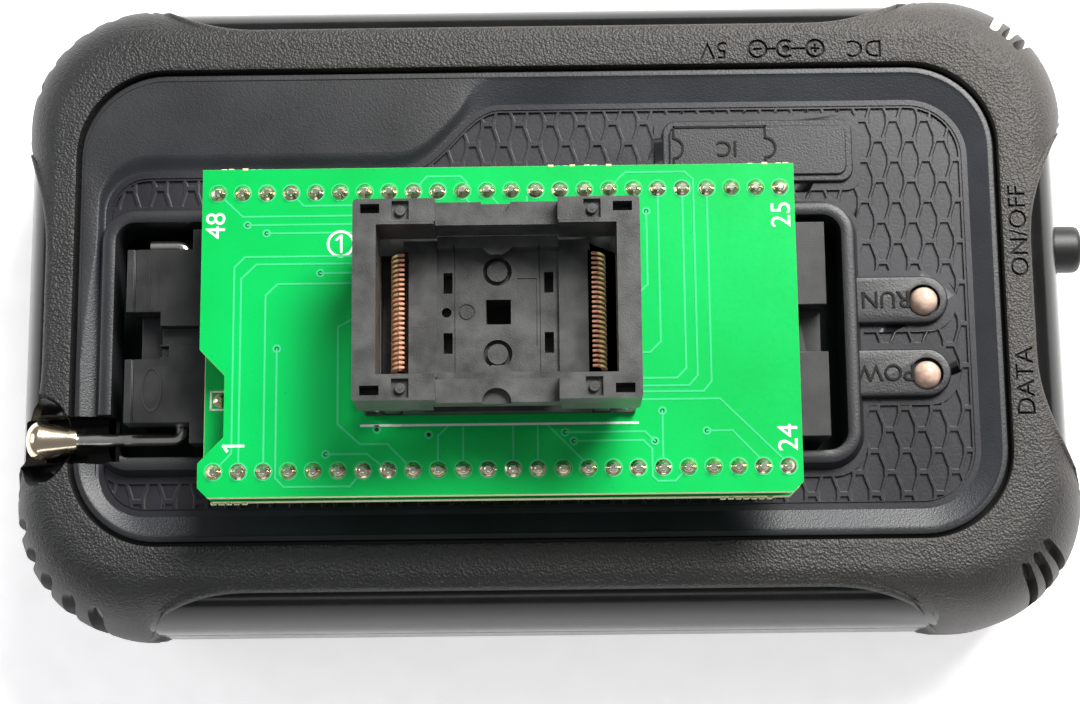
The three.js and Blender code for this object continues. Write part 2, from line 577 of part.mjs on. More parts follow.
function makeChipSocketBase() {
  const { x, y, z, halfX, halfY } = CHIP_SOCKET;
  const inner = { halfX: halfX - 1.5, halfY: halfY - 1.6 };
  let base = block(x - halfX + 0.4, x + halfX - 0.4, y - halfY + 0.4, y + halfY - 0.4, z, z + 2);
  base = base.add(block(x - inner.halfX, x + inner.halfX, y - inner.halfY, y + inner.halfY, z + 1, z + 3));
  base = base.add(block(x - 8.4, x + 8.4, y - 7.6, y + 7.6, z + 1, SEAT_Z));
  for (const side of ROWS) {
    base = base.add(block(x - 6.1, x + 6.1, y + side * 6.9 - 0.7, y + side * 6.9 + 0.7, z + 1, SEAT_Z + 1.6));
  }
  base = base.subtract(block(x - 1.25, x + 1.25, y - 1.2, y + 1.2, z - 1, z + 9));
  const slotHalf = CONTACT.halfY + 0.4;
  for (const sx of ROWS) {
    const slotX = x + sx * (CONTACT.x + 0.6);
    base = base.subtract(block(slotX - 1.5, slotX + 1.5, y - slotHalf, y + slotHalf, CONTACT.z - 0.2, z + 9));
    for (const sy of ROWS) {
      const springAt = [x + sx * SPRING.x, y + sy * SPRING.y];
      base = base.subtract(bar("z", SPRING.r + 0.4, SPRING.z0, z + 9, springAt, 10));
      const gap = [x + sx * 4.9, y + sy * 3];
      base = base.subtract(block(gap[0] - 0.45, gap[0] + 0.45, gap[1] - 1, gap[1] + 1, SEAT_Z - 1, SEAT_Z + 1));
    }
  }
  return base;
}

function makeChipSocketCover() {
  const { x, y, z, halfX, halfY, height } = CHIP_SOCKET;
  const top = z + height;
  const bottom = top - COVER.wall;
  const inner = { halfX: halfX - COVER.rail, halfY: halfY - COVER.rail };
  const well = block(x - inner.halfX, x + inner.halfX, y - inner.halfY, y + inner.halfY, bottom - 1, top + 1);
  const lowMiddle = block(x - COVER.middleX, x + COVER.middleX, y - 20, y + 20, top - COVER.middleDrop, top + 1);
  let cover = block(x - halfX, x + halfX, y - halfY, y + halfY, bottom, top).subtract(well.add(lowMiddle));
  const slot = block(-0.95, 0.95, -0.45, 0.45, top - 1.5, top + 1);
  for (const sy of ROWS) {
    cover = cover.subtract(bar("z", COVER.notchR, bottom - 1, top + 1, [x, y + sy * halfY], 12));
    for (const sx of ROWS) cover = cover.subtract(slot.translate([x + sx * 12.4, y + sy * 9.1, 0]));
  }
  return cover;
}

// One row of 24 contact fingers on 0.5 mm centres, leaning over the chip's leads. side is -1 or 1.
function makeChipContacts(side) {
  const x = CHIP_SOCKET.x;
  const foot = CONTACT.z;
  const s = new THREE.Shape();
  s.moveTo(CONTACT.x, foot);
  s.lineTo(CONTACT.x + 1.2, foot);
  s.lineTo(CONTACT.x + 1, foot + 4.2);
  s.lineTo(CONTACT.x - 0.5, foot + 4.6);
  s.lineTo(CONTACT.x + 0.5, foot + 3.7);
  s.lineTo(CONTACT.x + 0.6, foot + 0.8);
  s.lineTo(CONTACT.x, foot + 0.8);
  const g = new THREE.ExtrudeGeometry(s, { depth: 2 * CONTACT.halfY, bevelEnabled: false });
  g.rotateX(Math.PI / 2).translate(0, CONTACT.halfY, 0);
  if (side < 0) g.rotateZ(Math.PI);
  const gaps = Array.from({ length: PINS_PER_ROW - 1 }, (_, i) => {
    const gy = (i - (PINS_PER_ROW - 2) / 2) * CONTACT.pitch;
    const half = CONTACT.gap / 2;
    return block(side * CONTACT.x - 3, side * CONTACT.x + 3, gy - half, gy + half, foot + 0.9, foot + 8);
  });
  return solid(g).subtract(union(gaps)).translate([x, CHIP_SOCKET.y, 0]);
}

class Helix extends THREE.Curve {
  constructor(x, y, z0, z1, r, turns) {
    super();
    Object.assign(this, { x, y, z0, z1, r, turns });
  }

  getPoint(t, target = new THREE.Vector3()) {
    const a = t * this.turns * Math.PI * 2;
    const z = this.z0 + (this.z1 - this.z0) * t;
    return target.set(this.x + this.r * Math.cos(a), this.y + this.r * Math.sin(a), z);
  }
}

function makeCoverSpring(sx, sy) {
  const { x, y, z, height } = CHIP_SOCKET;
  const bottom = SPRING.z0 + 0.3;
  const top = z + height - COVER.wall - 0.3;
  const path = new Helix(x + sx * SPRING.x, y + sy * SPRING.y, bottom, top, SPRING.r - SPRING.wire, SPRING.turns);
  const w = SPRING.wire * 0.9;
  const section = new THREE.Shape([[-w, -w], [w, -w], [w, w], [-w, w]].map(([a, b]) => new THREE.Vector2(a, b)));
  return solid(new THREE.ExtrudeGeometry(section, { steps: SPRING.turns * 5, extrudePath: path }));
}

// ---------- assembly ----------

const programmer = new THREE.Group();
programmer.name = "usb_device_programmer";
const add = (name, body, material) => programmer.add(node(name, body, material));

add("lower_shell", makeLowerShell(), MATERIAL.shell);
add("upper_shell", makeUpperShell(), MATERIAL.shell);
add("rubber_bumper", makeBumper(), MATERIAL.rubber);
footPlaces.forEach((place, i) => add(`foot_${i + 1}`, makeFoot(place), MATERIAL.rubber));
postPlaces.forEach((place, i) => add(`case_screw_${i + 1}`, makeCaseScrew(place), MATERIAL.steel));

add("main_board", makeMainBoard(), MATERIAL.boardDark);
add("socket_board", makeSocketBoard(), MATERIAL.boardDark);
spacerPlaces.forEach((place, i) => add(`board_spacer_${i + 1}`, makeBoardSpacer(place), MATERIAL.nickel));
LINK.ys.forEach((y, i) => {
  add(`link_socket_${i + 1}`, makeLinkSocket(y), MATERIAL.headerPlastic);
  add(`link_header_${i + 1}`, makeLinkHeader(y), MATERIAL.headerPlastic);
});
add("usb_port_shell", makeUsbShell(), MATERIAL.steel);
add("usb_port_insert", makeUsbInsert(), MATERIAL.blue);
add("power_inlet", makePowerInlet(), MATERIAL.headerPlastic);
add("power_inlet_pin", makePowerInletPin(), MATERIAL.nickel);
add("power_switch_body", makeSwitchBody(), MATERIAL.headerPlastic);
add("power_button", makePowerButton(), MATERIAL.headerPlastic);
["run_led", "power_led"].forEach((name, i) => add(name, makeLed(LEDS.ys[i]), MATERIAL.led));
CAPACITOR.xs.forEach((x, i) => add(`capacitor_${i + 1}`, makeCapacitor(x), MATERIAL.aluminium));
PACKAGES.forEach((entry) => add(entry[0], makePackage(entry), MATERIAL[entry[6]]));

add("socket_base", makeSocketBase(), MATERIAL.socketPlastic);
add("socket_slider", makeSocketSlider(), MATERIAL.socketPlastic);
ROWS.forEach((side, i) => add(`socket_contacts_${i + 1}`, makeSocketContacts(side), MATERIAL.copper));
add("lever_wire", makeLeverWire(), MATERIAL.steel);
add("lever_knob", makeLeverKnob(), MATERIAL.nickel);

add("adapter_lower_board", makeAdapterBoard(STACK.lower), MATERIAL.boardGreen);
add("adapter_upper_board", makeAdapterBoard(STACK.upper), MATERIAL.boardGreen);
ROWS.forEach((side, i) => {
  const dipY = SOCKET.y + side * SOCKET.rowHalf;
  const outerY = ADAPTER.y + side * ADAPTER.rowHalf;
  add(`plug_header_${i + 1}`, makePinStrip(dipY, STACK.dip, 3.6, 0, 0.25), MATERIAL.headerPlastic);
  add(`stacking_header_${i + 1}`, makePinStrip(outerY, STACK.spacer, 1.9, 2, 0.3), MATERIAL.headerPlastic);
});
add("chip_socket_base", makeChipSocketBase(), MATERIAL.chipPlastic);
add("chip_socket_cover", makeChipSocketCover(), MATERIAL.chipPlastic);
add("chip_contacts_left", makeChipContacts(-1), MATERIAL.copper);
add("chip_contacts_right", makeChipContacts(1), MATERIAL.copper);
ROWS.forEach((sx, i) => ROWS.forEach((sy, j) => {
  add(`cover_spring_${2 * i + j + 1}`, makeCoverSpring(sx, sy), MATERIAL.steel);
}));

export default programmer;
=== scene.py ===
# %% [markdown]
# # A chip programmer with a plug-in adapter
#
# The object is a hard two-part case in a rubber bumper. A 48-way lever socket sits in its deck, and
# a stack of two green boards is plugged into that socket, with a press-down chip socket on top.
# The lever, the socket's slider, the adapter, the chip socket's cover and its contacts all move, so
# each of them is a body of its own, and every piece made here rides on one of those bodies.

# %% Load the frame
import math

import bmesh
import bpy
import numpy as np
from mathutils import Matrix, Vector


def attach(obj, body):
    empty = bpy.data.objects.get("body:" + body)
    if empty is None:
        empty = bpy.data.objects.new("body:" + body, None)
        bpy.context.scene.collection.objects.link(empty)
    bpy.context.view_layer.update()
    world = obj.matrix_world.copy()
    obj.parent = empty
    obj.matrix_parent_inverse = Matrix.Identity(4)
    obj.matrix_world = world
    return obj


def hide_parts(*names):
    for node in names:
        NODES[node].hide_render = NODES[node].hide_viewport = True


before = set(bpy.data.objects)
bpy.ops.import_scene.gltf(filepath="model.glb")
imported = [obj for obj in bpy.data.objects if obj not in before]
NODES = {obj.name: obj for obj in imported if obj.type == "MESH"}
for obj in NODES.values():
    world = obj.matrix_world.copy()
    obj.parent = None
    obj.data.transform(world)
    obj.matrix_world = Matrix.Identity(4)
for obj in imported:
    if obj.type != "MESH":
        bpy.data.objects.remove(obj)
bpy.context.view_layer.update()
MM = 0.001

# %% [markdown]
# ## Camera, floor and light
#
# The view is from almost straight above, a little towards the near long side. The camera is placed
# by the directions of its own three axes, which is steadier than turning it by three angles. The
# light is a large soft panel over the far right corner, a weaker one on the left, and a pale room
# all round, because black plastic is seen mostly by what it reflects.

# %% Camera
CAMERA_AT = Vector((1.74, -51.25, 256.45)) * MM
CAMERA_AXES = (
    (0.99990817, -0.01018152, -0.00894393),
    (0.01171875, 0.98106884, 0.19330442),
    (0.00680648, -0.19339148, 0.98109806),
)
lens = bpy.data.cameras.new("camera")
lens.lens = 73.16
lens.sensor_width = 36
lens.clip_start = 0.01
camera = bpy.data.objects.new("camera", lens)
camera.matrix_world = Matrix.Translation(CAMERA_AT) @ Matrix(CAMERA_AXES).transposed().to_4x4()
bpy.context.scene.collection.objects.link(camera)
bpy.context.scene.camera = camera
print("camera is", round(CAMERA_AT.length, 3), "m from the middle of the desk under the case")


# %% Lights and room
def soft_light(name, at, aim, width, height, power, tint):
    """A rectangular panel of light that faces a point."""
    data = bpy.data.lights.new(name, "AREA")
    data.shape = "RECTANGLE"
    data.size, data.size_y = width, height
    data.energy = power
    data.color = tint
    lamp = bpy.data.objects.new(name, data)
    lamp.location = at
    lamp.rotation_euler = (Vector(aim) - Vector(at)).to_track_quat("-Z", "Y").to_euler()
    bpy.context.scene.collection.objects.link(lamp)


soft_light("key_light", (0.27, 0.37, 0.5), (0.02, 0.02, 0.02), 0.36, 0.36, 9.5, (1.0, 0.99, 0.96))
soft_light("fill_light", (-0.65, 0.1, 0.35), (0, 0, 0.02), 0.4, 0.4, 1.6, (0.93, 0.96, 1.0))
soft_light("near_light", (0.05, -0.7, 0.35), (0, 0, 0.02), 0.5, 0.1, 0.35, (0.96, 0.98, 1.0))

room = bpy.data.worlds.new("room")
room.use_nodes = True
room.node_tree.nodes["Background"].inputs["Color"].default_value = (0.93, 0.96, 1.0, 1)
room.node_tree.nodes["Background"].inputs["Strength"].default_value = 0.22
bpy.context.scene.world = room
bpy.context.scene.view_settings.view_transform = "Standard"
print("3 lights and a pale room")

# %% [markdown]
# ## Writing shaders as sums
#
# A shader is a graph of nodes, and its arithmetic is easier to read as an expression. The class
# Value wraps one socket, and adding, taking away, multiplying or dividing Values puts the Math node
# in. Paint holds one material, and its node method adds any other node, with its settings first and
# its sockets after.


# %% Sockets that can be added up
class Value:
    """One output socket of a material, with arithmetic."""

    def __init__(self, paint, socket):
        self.paint = paint
        self.socket = socket

    def math(self, operation, *others):
        inputs = dict(enumerate((self,) + others))
        return self.paint.node("ShaderNodeMath", {"operation": operation}, inputs)

    def __add__(self, other):
        return self.math("ADD", other)

    __radd__ = __add__

    def __mul__(self, other):
        return self.math("MULTIPLY", other)

    __rmul__ = __mul__

    def __sub__(self, other):
        return self.math("SUBTRACT", other)

    def __rsub__(self, other):
        return (self * -1.0) + other

    def __truediv__(self, other):
        return self.math("DIVIDE", other)

    def clamp(self):
        return self.math("MINIMUM", 1.0).math("MAXIMUM", 0.0)

    def step(self, low, high):
        """0 below low, 1 above high, a straight ramp between."""
        return ((self - low) / (high - low)).clamp()


class Paint:
    """A procedural material."""

    def __init__(self, name):
        self.material = bpy.data.materials.new(name)
        self.material.use_nodes = True
        self.tree = self.material.node_tree
        self.shader = self.tree.nodes["Principled BSDF"]
        self.where = self.node("ShaderNodeTexCoord", {}, {}, "Object")

    def join(self, source, target):
        if isinstance(source, Value):
            self.tree.links.new(source.socket, target)
        else:
            target.default_value = source

    def node(self, kind, settings, inputs, output=0):
        made = self.tree.nodes.new(kind)
        for key, value in settings.items():
            setattr(made, key, value)
        for key, value in inputs.items():
            self.join(value, made.inputs[key])
        return Value(self, made.outputs[output])

    def noise(self, grain_mm, detail=3.0):
        """Cloudy noise from 0 to 1 whose lumps are about grain_mm across."""
        sockets = {"Vector": self.where, "Scale": 1 / (grain_mm * MM), "Detail": detail}
        return self.node("ShaderNodeTexNoise", {}, sockets, "Fac")

    def cells(self, grain_mm):
        """Distance to the nearest of many scattered points, for grains and pits."""
        sockets = {"Vector": self.where, "Scale": 1 / (grain_mm * MM)}
        return self.node("ShaderNodeTexVoronoi", {}, sockets, "Distance")

    def axis(self, letter):
        """Position along one axis, in millimetres."""
        parts = self.node("ShaderNodeSeparateXYZ", {}, {"Vector": self.where}, letter)
        return parts * (1 / MM)

    def mix(self, amount, first, second):
        """Colour that goes from first to second."""
        sockets = {"Factor": amount, 6: first, 7: second}
        return self.node("ShaderNodeMix", {"data_type": "RGBA"}, sockets, 2)

    def bump(self, height, depth_mm):
        """Normals of a surface that goes depth_mm up where height is 1."""
        sockets = {"Height": height, "Distance": depth_mm * MM, "Strength": 1.0}
        return self.node("ShaderNodeBump", {}, sockets)

    def finish(self, **sockets):
        """Sets the shader's own sockets: Base_Color=..., Roughness=... and so on."""
        for key, value in sockets.items():
            self.join(value, self.shader.inputs[key.replace("_", " ")])
        return self.material


def grey(level, warm=0.0):
    """A grey, with a little more red than blue when it is warm."""
    return (level * (1 + warm), level, level * (1 - warm), 1)


def scaled(colour, by):
    """A lighter or darker copy of a colour."""
    return tuple(c * by for c in colour[:3]) + (1,)


print("shader helpers ready")

# %% [markdown]
# ## Plastics and rubber
#
# Every black part has its own finish, and that is what tells them apart. The bumper is
# spark-eroded rubber with a coarse grain that fades out where it rolls over. The case wall is
# polished, the deck is satin with a fine grain, and the sockets are glass-filled plastic with faint
# flow clouds. Roughness changes a little over each of them, since wear and mould marks do that.


# %% Black materials
def satin_plastic(
    name, colour, roughness, grain_mm, depth_mm, clouds=0.25, specular=0.5, cloud_mm=9.0
):
    """Moulded plastic with a fine grain, faint clouds in its colour and uneven gloss."""
    p = Paint(name)
    cloud = p.noise(cloud_mm, 3.0)
    fine = p.noise(grain_mm, 2.0)
    darker, lighter = scaled(colour, 1 - clouds), scaled(colour, 1 + clouds)
    return p.finish(
        Base_Color=p.mix(cloud.step(0.3, 0.7), darker, lighter),
        Roughness=fine * 0.12 + cloud * 0.1 + (roughness - 0.11),
        Normal=p.bump(fine, depth_mm),
        Specular_IOR_Level=specular,
    )


def spark_rubber(name):
    """Rubber from a spark-eroded mould: coarse grain on the flat, smoother where it rolls over, and
    a painted sheen that makes it lighter and warmer towards the far right corner.
    """
    p = Paint(name)
    on_flats = p.axis("Z").step(20.5, 25.5) + (p.axis("Z") * -1.0).step(-4.5, -1.5)
    grain = p.noise(0.36, 2.0) * 0.6 + p.cells(0.26) * 0.5
    dust = p.noise(5.0, 4.0).step(0.35, 0.75)
    # painted sheen: the colour goes lighter and warmer towards the far right corner, where the key
    # light falls
    lit_side_sheen = (p.axis("X") + p.axis("Y") * 0.6).step(-30.0, 75.0)
    dark = p.mix(dust, (0.009, 0.009, 0.0095, 1), (0.014, 0.014, 0.0145, 1))
    warm = p.mix(dust, grey(0.034, 0.1), grey(0.05, 0.14))
    return p.finish(
        Base_Color=p.mix(lit_side_sheen, dark, warm),
        Roughness=(0.4 + grain * 0.2 + dust * 0.06).clamp(),
        Normal=p.bump(grain * (on_flats * 0.9 + 0.1), 0.17),
        Specular_IOR_Level=0.55,
    )


RUBBER = spark_rubber("bumper_rubber_spark")
GLOSS = satin_plastic("case_gloss", grey(0.007), 0.18, 0.8, 0.004, specular=0.28)
SATIN = satin_plastic("deck_satin", (0.017, 0.0175, 0.02, 1), 0.42, 0.22, 0.03)
BAND = satin_plastic("deck_band_grain", (0.02, 0.022, 0.027, 1), 0.42, 0.2, 0.04)
POCKET = satin_plastic("honeycomb_satin", (0.018, 0.017, 0.022, 1), 0.34, 0.3, 0.01)
# a lighter grey for the pockets' leaning walls: a painted highlight along each rib
POCKET_EDGE_HIGHLIGHT = satin_plastic("honeycomb_painted_highlight", grey(0.075), 0.3, 0.3, 0.01)
# near-black for the letters and marks on the case: painted shade, so raised letters and the floors
# of cut ones read dark
LETTER_SHADE = satin_plastic("letter_painted_shade", grey(0.005), 0.5, 0.3, 0.01, specular=0.2)
SOCKET_BLACK = satin_plastic(
    "lever_socket_plastic", (0.02, 0.02, 0.021, 1), 0.42, 0.12, 0.015, 0.45, cloud_mm=3.0
)
CHIP_BLACK = satin_plastic(
    "chip_socket_plastic_satin", (0.058, 0.058, 0.057, 1), 0.4, 0.15, 0.02, 0.5, cloud_mm=2.6
)
HEADER_BLACK = satin_plastic("header_plastic", grey(0.012), 0.45, 0.15, 0.008)
FOOT_RUBBER = satin_plastic("foot_rubber", grey(0.02), 0.75, 0.25, 0.02)
BLUE = satin_plastic("port_tongue_blue", (0.02, 0.1, 0.5, 1), 0.4, 0.2, 0.005)
print("black finishes:", [m.name for m in (RUBBER, GLOSS, SATIN, BAND, POCKET, SOCKET_BLACK)])

# %% [markdown]
# ## Metals, boards and resin
#
# Metal is a Principled shader with Metallic at 1, so its look is all in roughness and in what it
# reflects. Solder is tarnished in patches by its flux. The boards are green lacquer over glass
# cloth: glossy, a little uneven, and cream-coloured where the edge was cut.


# %% Metals
def metal(name, colour, roughness, tarnish=0.2, grain_mm=1.2, metallic=1.0):
    """Bare or plated metal with uneven polish and a little tarnish."""
    p = Paint(name)
    cloud = p.noise(grain_mm, 3.0)
    return p.finish(
        Base_Color=p.mix(cloud.step(0.35, 0.7), colour, scaled(colour, 1 - tarnish)),
        Roughness=cloud * 0.2 + (roughness - 0.08),
        Metallic=metallic,
        Normal=p.bump(cloud, 0.004),
    )


STEEL = metal("plated_steel", (0.78, 0.76, 0.71, 1), 0.22)
NICKEL = metal("warm_nickel", (0.94, 0.78, 0.56, 1), 0.16, 0.12, 3.0)
SOLDER = metal("solder", (1.0, 0.85, 0.58, 1), 0.2, 0.55, 0.5)
COPPER = metal("contact_copper", (0.98, 0.5, 0.33, 1), 0.34, 0.3, 0.6, 0.5)
ALUMINIUM = metal("can_aluminium_satin", (0.8, 0.81, 0.83, 1), 0.32, 0.15, 2.0)


# %% Boards, ink and resin
def lacquer(name, colour, darker, roughness=0.3):
    """Green lacquer: glossy, thin and thick in places, over a faint weave."""
    p = Paint(name)
    cloud = p.noise(14.0, 2.0)
    weave = p.noise(0.5, 1.0)
    return p.finish(
        Base_Color=p.mix(cloud.step(0.3, 0.7), darker, colour),
        Roughness=weave * 0.1 + (roughness - 0.05),
        Normal=p.bump(weave, 0.008),
        Specular_IOR_Level=0.25,
    )


def matte(name, colour, roughness=0.6, grain_mm=0.3):
    """Ink, cut fibre or resin without a gloss, a little speckled."""
    p = Paint(name)
    speck = p.noise(grain_mm, 3.0)
    return p.finish(
        Base_Color=p.mix(speck.step(0.3, 0.75), colour, scaled(colour, 0.8)),
        Roughness=speck * 0.15 + (roughness - 0.07),
        Normal=p.bump(speck, 0.01),
    )


GREEN = lacquer("board_lacquer", (0.0, 0.52, 0.1, 1), (0.0, 0.43, 0.07, 1))
TRACK = lacquer("track_under_lacquer", (0.06, 0.62, 0.24, 1), (0.04, 0.52, 0.19, 1))
INNER_GREEN = lacquer("inner_board_lacquer", (0.003, 0.02, 0.01, 1), (0.002, 0.012, 0.007, 1), 0.4)
CUT_EDGE = matte("board_cut_edge", (0.72, 0.74, 0.42, 1), 0.7, 0.2)
INK = matte("white_ink", (0.86, 0.9, 0.86, 1), 0.5, 0.2)
# near-black for holes: painted shade in each via and on a plate under the chip seat's window
HOLE_SHADE = matte("hole_painted_shade", (0.012, 0.02, 0.014, 1), 0.8)
RESIN = matte("package_resin", (0.02, 0.02, 0.021, 1), 0.55, 0.15)


def led_resin(name):
    """Clear resin over a pale die cup, lit from within a little by the light it gathers."""
    p = Paint(name)
    cloud = p.noise(0.9, 2.0)
    glow = p.mix(cloud.step(0.35, 0.65), (0.72, 0.54, 0.44, 1), (0.5, 0.33, 0.26, 1))
    return p.finish(
        Base_Color=glow,
        Roughness=cloud * 0.1 + 0.06,
        Emission_Color=glow,
        Emission_Strength=0.08,
    )


LED = led_resin("led_clear_resin")
FLOOR = matte("desk_white", (0.9, 0.9, 0.9, 1), 0.7, 3.0)
floor_sockets = FLOOR.node_tree.nodes["Principled BSDF"].inputs
floor_sockets["Emission Color"].default_value = (1, 0.98, 0.985, 1)
floor_sockets["Emission Strength"].default_value = 0.62
print("metals, boards and resin ready")

# %% [markdown]
# ## The desk
#
# One large pale plane that glows a little, as paper under a soft box seems to.

# %% Desk
bm = bmesh.new()
bmesh.ops.create_grid(bm, x_segments=1, y_segments=1, size=3.0)
desk_mesh = bpy.data.meshes.new("desk")
bm.to_mesh(desk_mesh)
bm.free()
desk = bpy.data.objects.new("desk", desk_mesh)
desk_mesh.materials.append(FLOOR)
bpy.context.scene.collection.objects.link(desk)
print("desk is", desk.dimensions[:], "m")

# %% [markdown]
# ## Shapes in millimetres
#
# The pieces are shaped in a bmesh in millimetres, because numbers like 0.8 are easier to read than
# 0.0008, and turned into metres once, at the end. A few helpers do what recurs: boxes, bars, slabs
# with a given outline, turned parts, rings swept round an outline, and solids cut out of others.

# %% Simple solids
BOTH_SIDES = (-1, 1)
CORNERS = [(sx, sy) for sx in BOTH_SIDES for sy in BOTH_SIDES]
WELD = 1e-4  # corners closer than this are one, in mm


def block(bm, x0, x1, y0, y1, z0, z1):
    """A box between two limits on each axis."""
    made = bmesh.ops.create_cube(bm, size=1)["verts"]
    bmesh.ops.scale(bm, vec=(x1 - x0, y1 - y0, z1 - z0), verts=made)
    bmesh.ops.translate(bm, vec=((x0 + x1) / 2, (y0 + y1) / 2, (z0 + z1) / 2), verts=made)
    return made


def box_at(bm, x, y, half_x, half_y, z0, z1):
    """A box given by its middle and half its width each way."""
    return block(bm, x - half_x, x + half_x, y - half_y, y + half_y, z0, z1)


def rod(bm, axis, radius, start, end, at, sides=24):
    """A round bar along an axis. at gives its other two coordinates, in order."""
    made = bmesh.ops.create_cone(
        bm, cap_ends=True, segments=sides, radius1=radius, radius2=radius, depth=end - start
    )["verts"]
    middle = (start + end) / 2
    if axis == "x":
        bmesh.ops.rotate(bm, matrix=Matrix.Rotation(math.pi / 2, 3, "Y"), verts=made)
        place = (middle, at[0], at[1])
    elif axis == "y":
        bmesh.ops.rotate(bm, matrix=Matrix.Rotation(-math.pi / 2, 3, "X"), verts=made)
        place = (at[0], middle, at[1])
    else:
        place = (at[0], at[1], middle)
    bmesh.ops.translate(bm, vec=place, verts=made)


def pull(bm, points, shift):
    """A face through points, pulled out by shift. Returns the corners that moved."""
    face = bm.faces.new([bm.verts.new(p) for p in points])
    grown = bmesh.ops.extrude_face_region(bm, geom=[face])["geom"]
    moved = [g for g in grown if isinstance(g, bmesh.types.BMVert)]
    bmesh.ops.translate(bm, vec=shift, verts=moved)
    return moved


def slab(bm, outline, z0, z1):
    """A plate with a given outline. Returns its top corners."""
    return pull(bm, [(x, y, z0) for x, y in outline], (0, 0, z1 - z0))


def soften(bm, edges, offset, segments):
    bmesh.ops.bevel(
        bm, geom=edges, offset=offset, segments=segments, profile=0.5, affect="EDGES", material=-1
    )


def plate(bm, x0, x1, y0, y1, z0, z1, corner, segments=6):
    """A box whose four upright edges are rounded."""
    made = block(bm, x0, x1, y0, y1, z0, z1)
    edges = {e for v in made for e in v.link_edges}
    upright = [e for e in edges if abs(e.verts[0].co.z - e.verts[1].co.z) > 1e-6]
    soften(bm, upright, corner, segments)


def lathe(bm, profile, axis, at, steps=40):
    """Turns a profile of (radius, along) points about an axis through at."""
    across = {"x": (0, 1, 0), "y": (1, 0, 0), "z": (1, 0, 0)}[axis]
    along = {"x": (1, 0, 0), "y": (0, 1, 0), "z": (0, 0, 1)}[axis]
    points = [Vector(at) + Vector(across) * r + Vector(along) * h for r, h in profile]
    verts = [bm.verts.new(p) for p in points]
    edges = [bm.edges.new(pair) for pair in zip(verts, verts[1:])]
    bmesh.ops.spin(
        bm, geom=verts + edges, cent=at, axis=along, angle=2 * math.pi, steps=steps, use_merge=True
    )
    bmesh.ops.remove_doubles(bm, verts=bm.verts, dist=WELD)


# %% Rings round an outline
def between(a, b, share):
    return a + (b - a) * share


def outline_ring(half_x, half_y, corner, long=90, short=50, arc=24, at=(0, 0)):
    """Points round a rounded rectangle, the same number for any size."""
    points = []
    sides = [(1, -1, long, 0), (1, 1, short, 1), (-1, 1, long, 2), (-1, -1, short, 3)]
    for sx, sy, count, quarter in sides:
        centre = (sx * (half_x - corner), sy * (half_y - corner))
        start = (quarter - 1) * math.pi / 2
        before = (-centre[0], centre[1]) if quarter % 2 == 0 else (centre[0], -centre[1])
        rim = (math.cos(start) * corner, math.sin(start) * corner)
        for i in range(count):
            share = i / count
            points.append([between(before[k], centre[k], share) + rim[k] for k in (0, 1)])
        for i in range(arc):
            a = start + (i / arc) * math.pi / 2
            points.append([centre[0] + corner * math.cos(a), centre[1] + corner * math.sin(a)])
    return np.array(points) + np.array(at)


def swept_ring(place, around, along):
    """A grid bent into a closed ring: place(i, j) gives station i's profile point j."""
    bm = bmesh.new()
    bmesh.ops.create_grid(bm, x_segments=around, y_segments=along, size=1)
    for v in bm.verts:
        i = round((v.co.x + 1) / 2 * around) % around
        j = round((v.co.y + 1) / 2 * along) % along
        v.co = place(i, j)
    bmesh.ops.remove_doubles(bm, verts=bm.verts, dist=2e-4)
    bmesh.ops.recalc_face_normals(bm, faces=bm.faces)
    return bm


def ring_of(profile, half_x, half_y, corner, at=(0, 0), counts=(90, 50, 24)):
    """A closed ring from (inset, z) profile points round a rounded rectangle."""
    loops = [
        outline_ring(half_x - inset, half_y - inset, max(corner - inset, 0.05), *counts, at=at)
        for inset, _ in profile
    ]
    return swept_ring(lambda i, j: (*loops[j][i], profile[j][1]), len(loops[0]), len(profile))


# %% Cutting, finishing and lettering
def temporary(bm):
    """An object that holds a bmesh until it has been cut."""
    mesh = bpy.data.meshes.new("tool")
    bmesh.ops.recalc_face_normals(bm, faces=bm.faces)
    bm.to_mesh(mesh)
    bm.free()
    obj = bpy.data.objects.new("tool", mesh)
    bpy.context.scene.collection.objects.link(obj)
    return obj


def combine(bm, tool, operation="DIFFERENCE"):
    """The solid in bm with the solid in tool cut out of it, added to it, or kept in common."""
    base, cutter = temporary(bm), temporary(tool)
    cut = base.modifiers.new("cut", "BOOLEAN")
    cut.operation = operation
    cut.solver = "EXACT"
    cut.use_self = True
    cut.object = cutter
    graph = bpy.context.evaluated_depsgraph_get()
    result = bmesh.new()
    result.from_mesh(base.evaluated_get(graph).to_mesh())
    for obj in (base, cutter):
        mesh = obj.data
        bpy.data.objects.remove(obj)
        bpy.data.meshes.remove(mesh)
    bmesh.ops.remove_doubles(result, verts=result.verts, dist=WELD)
    return result


def pour(part, whole):
    """Moves one bmesh into another."""
    mesh = bpy.data.meshes.new("part")
    part.to_mesh(mesh)
    part.free()
    whole.from_mesh(mesh)
    bpy.data.meshes.remove(mesh)


def gather(*parts):
    """Several bmeshes as one."""
    whole = bmesh.new()
    for part in parts:
        pour(part, whole)
    return whole


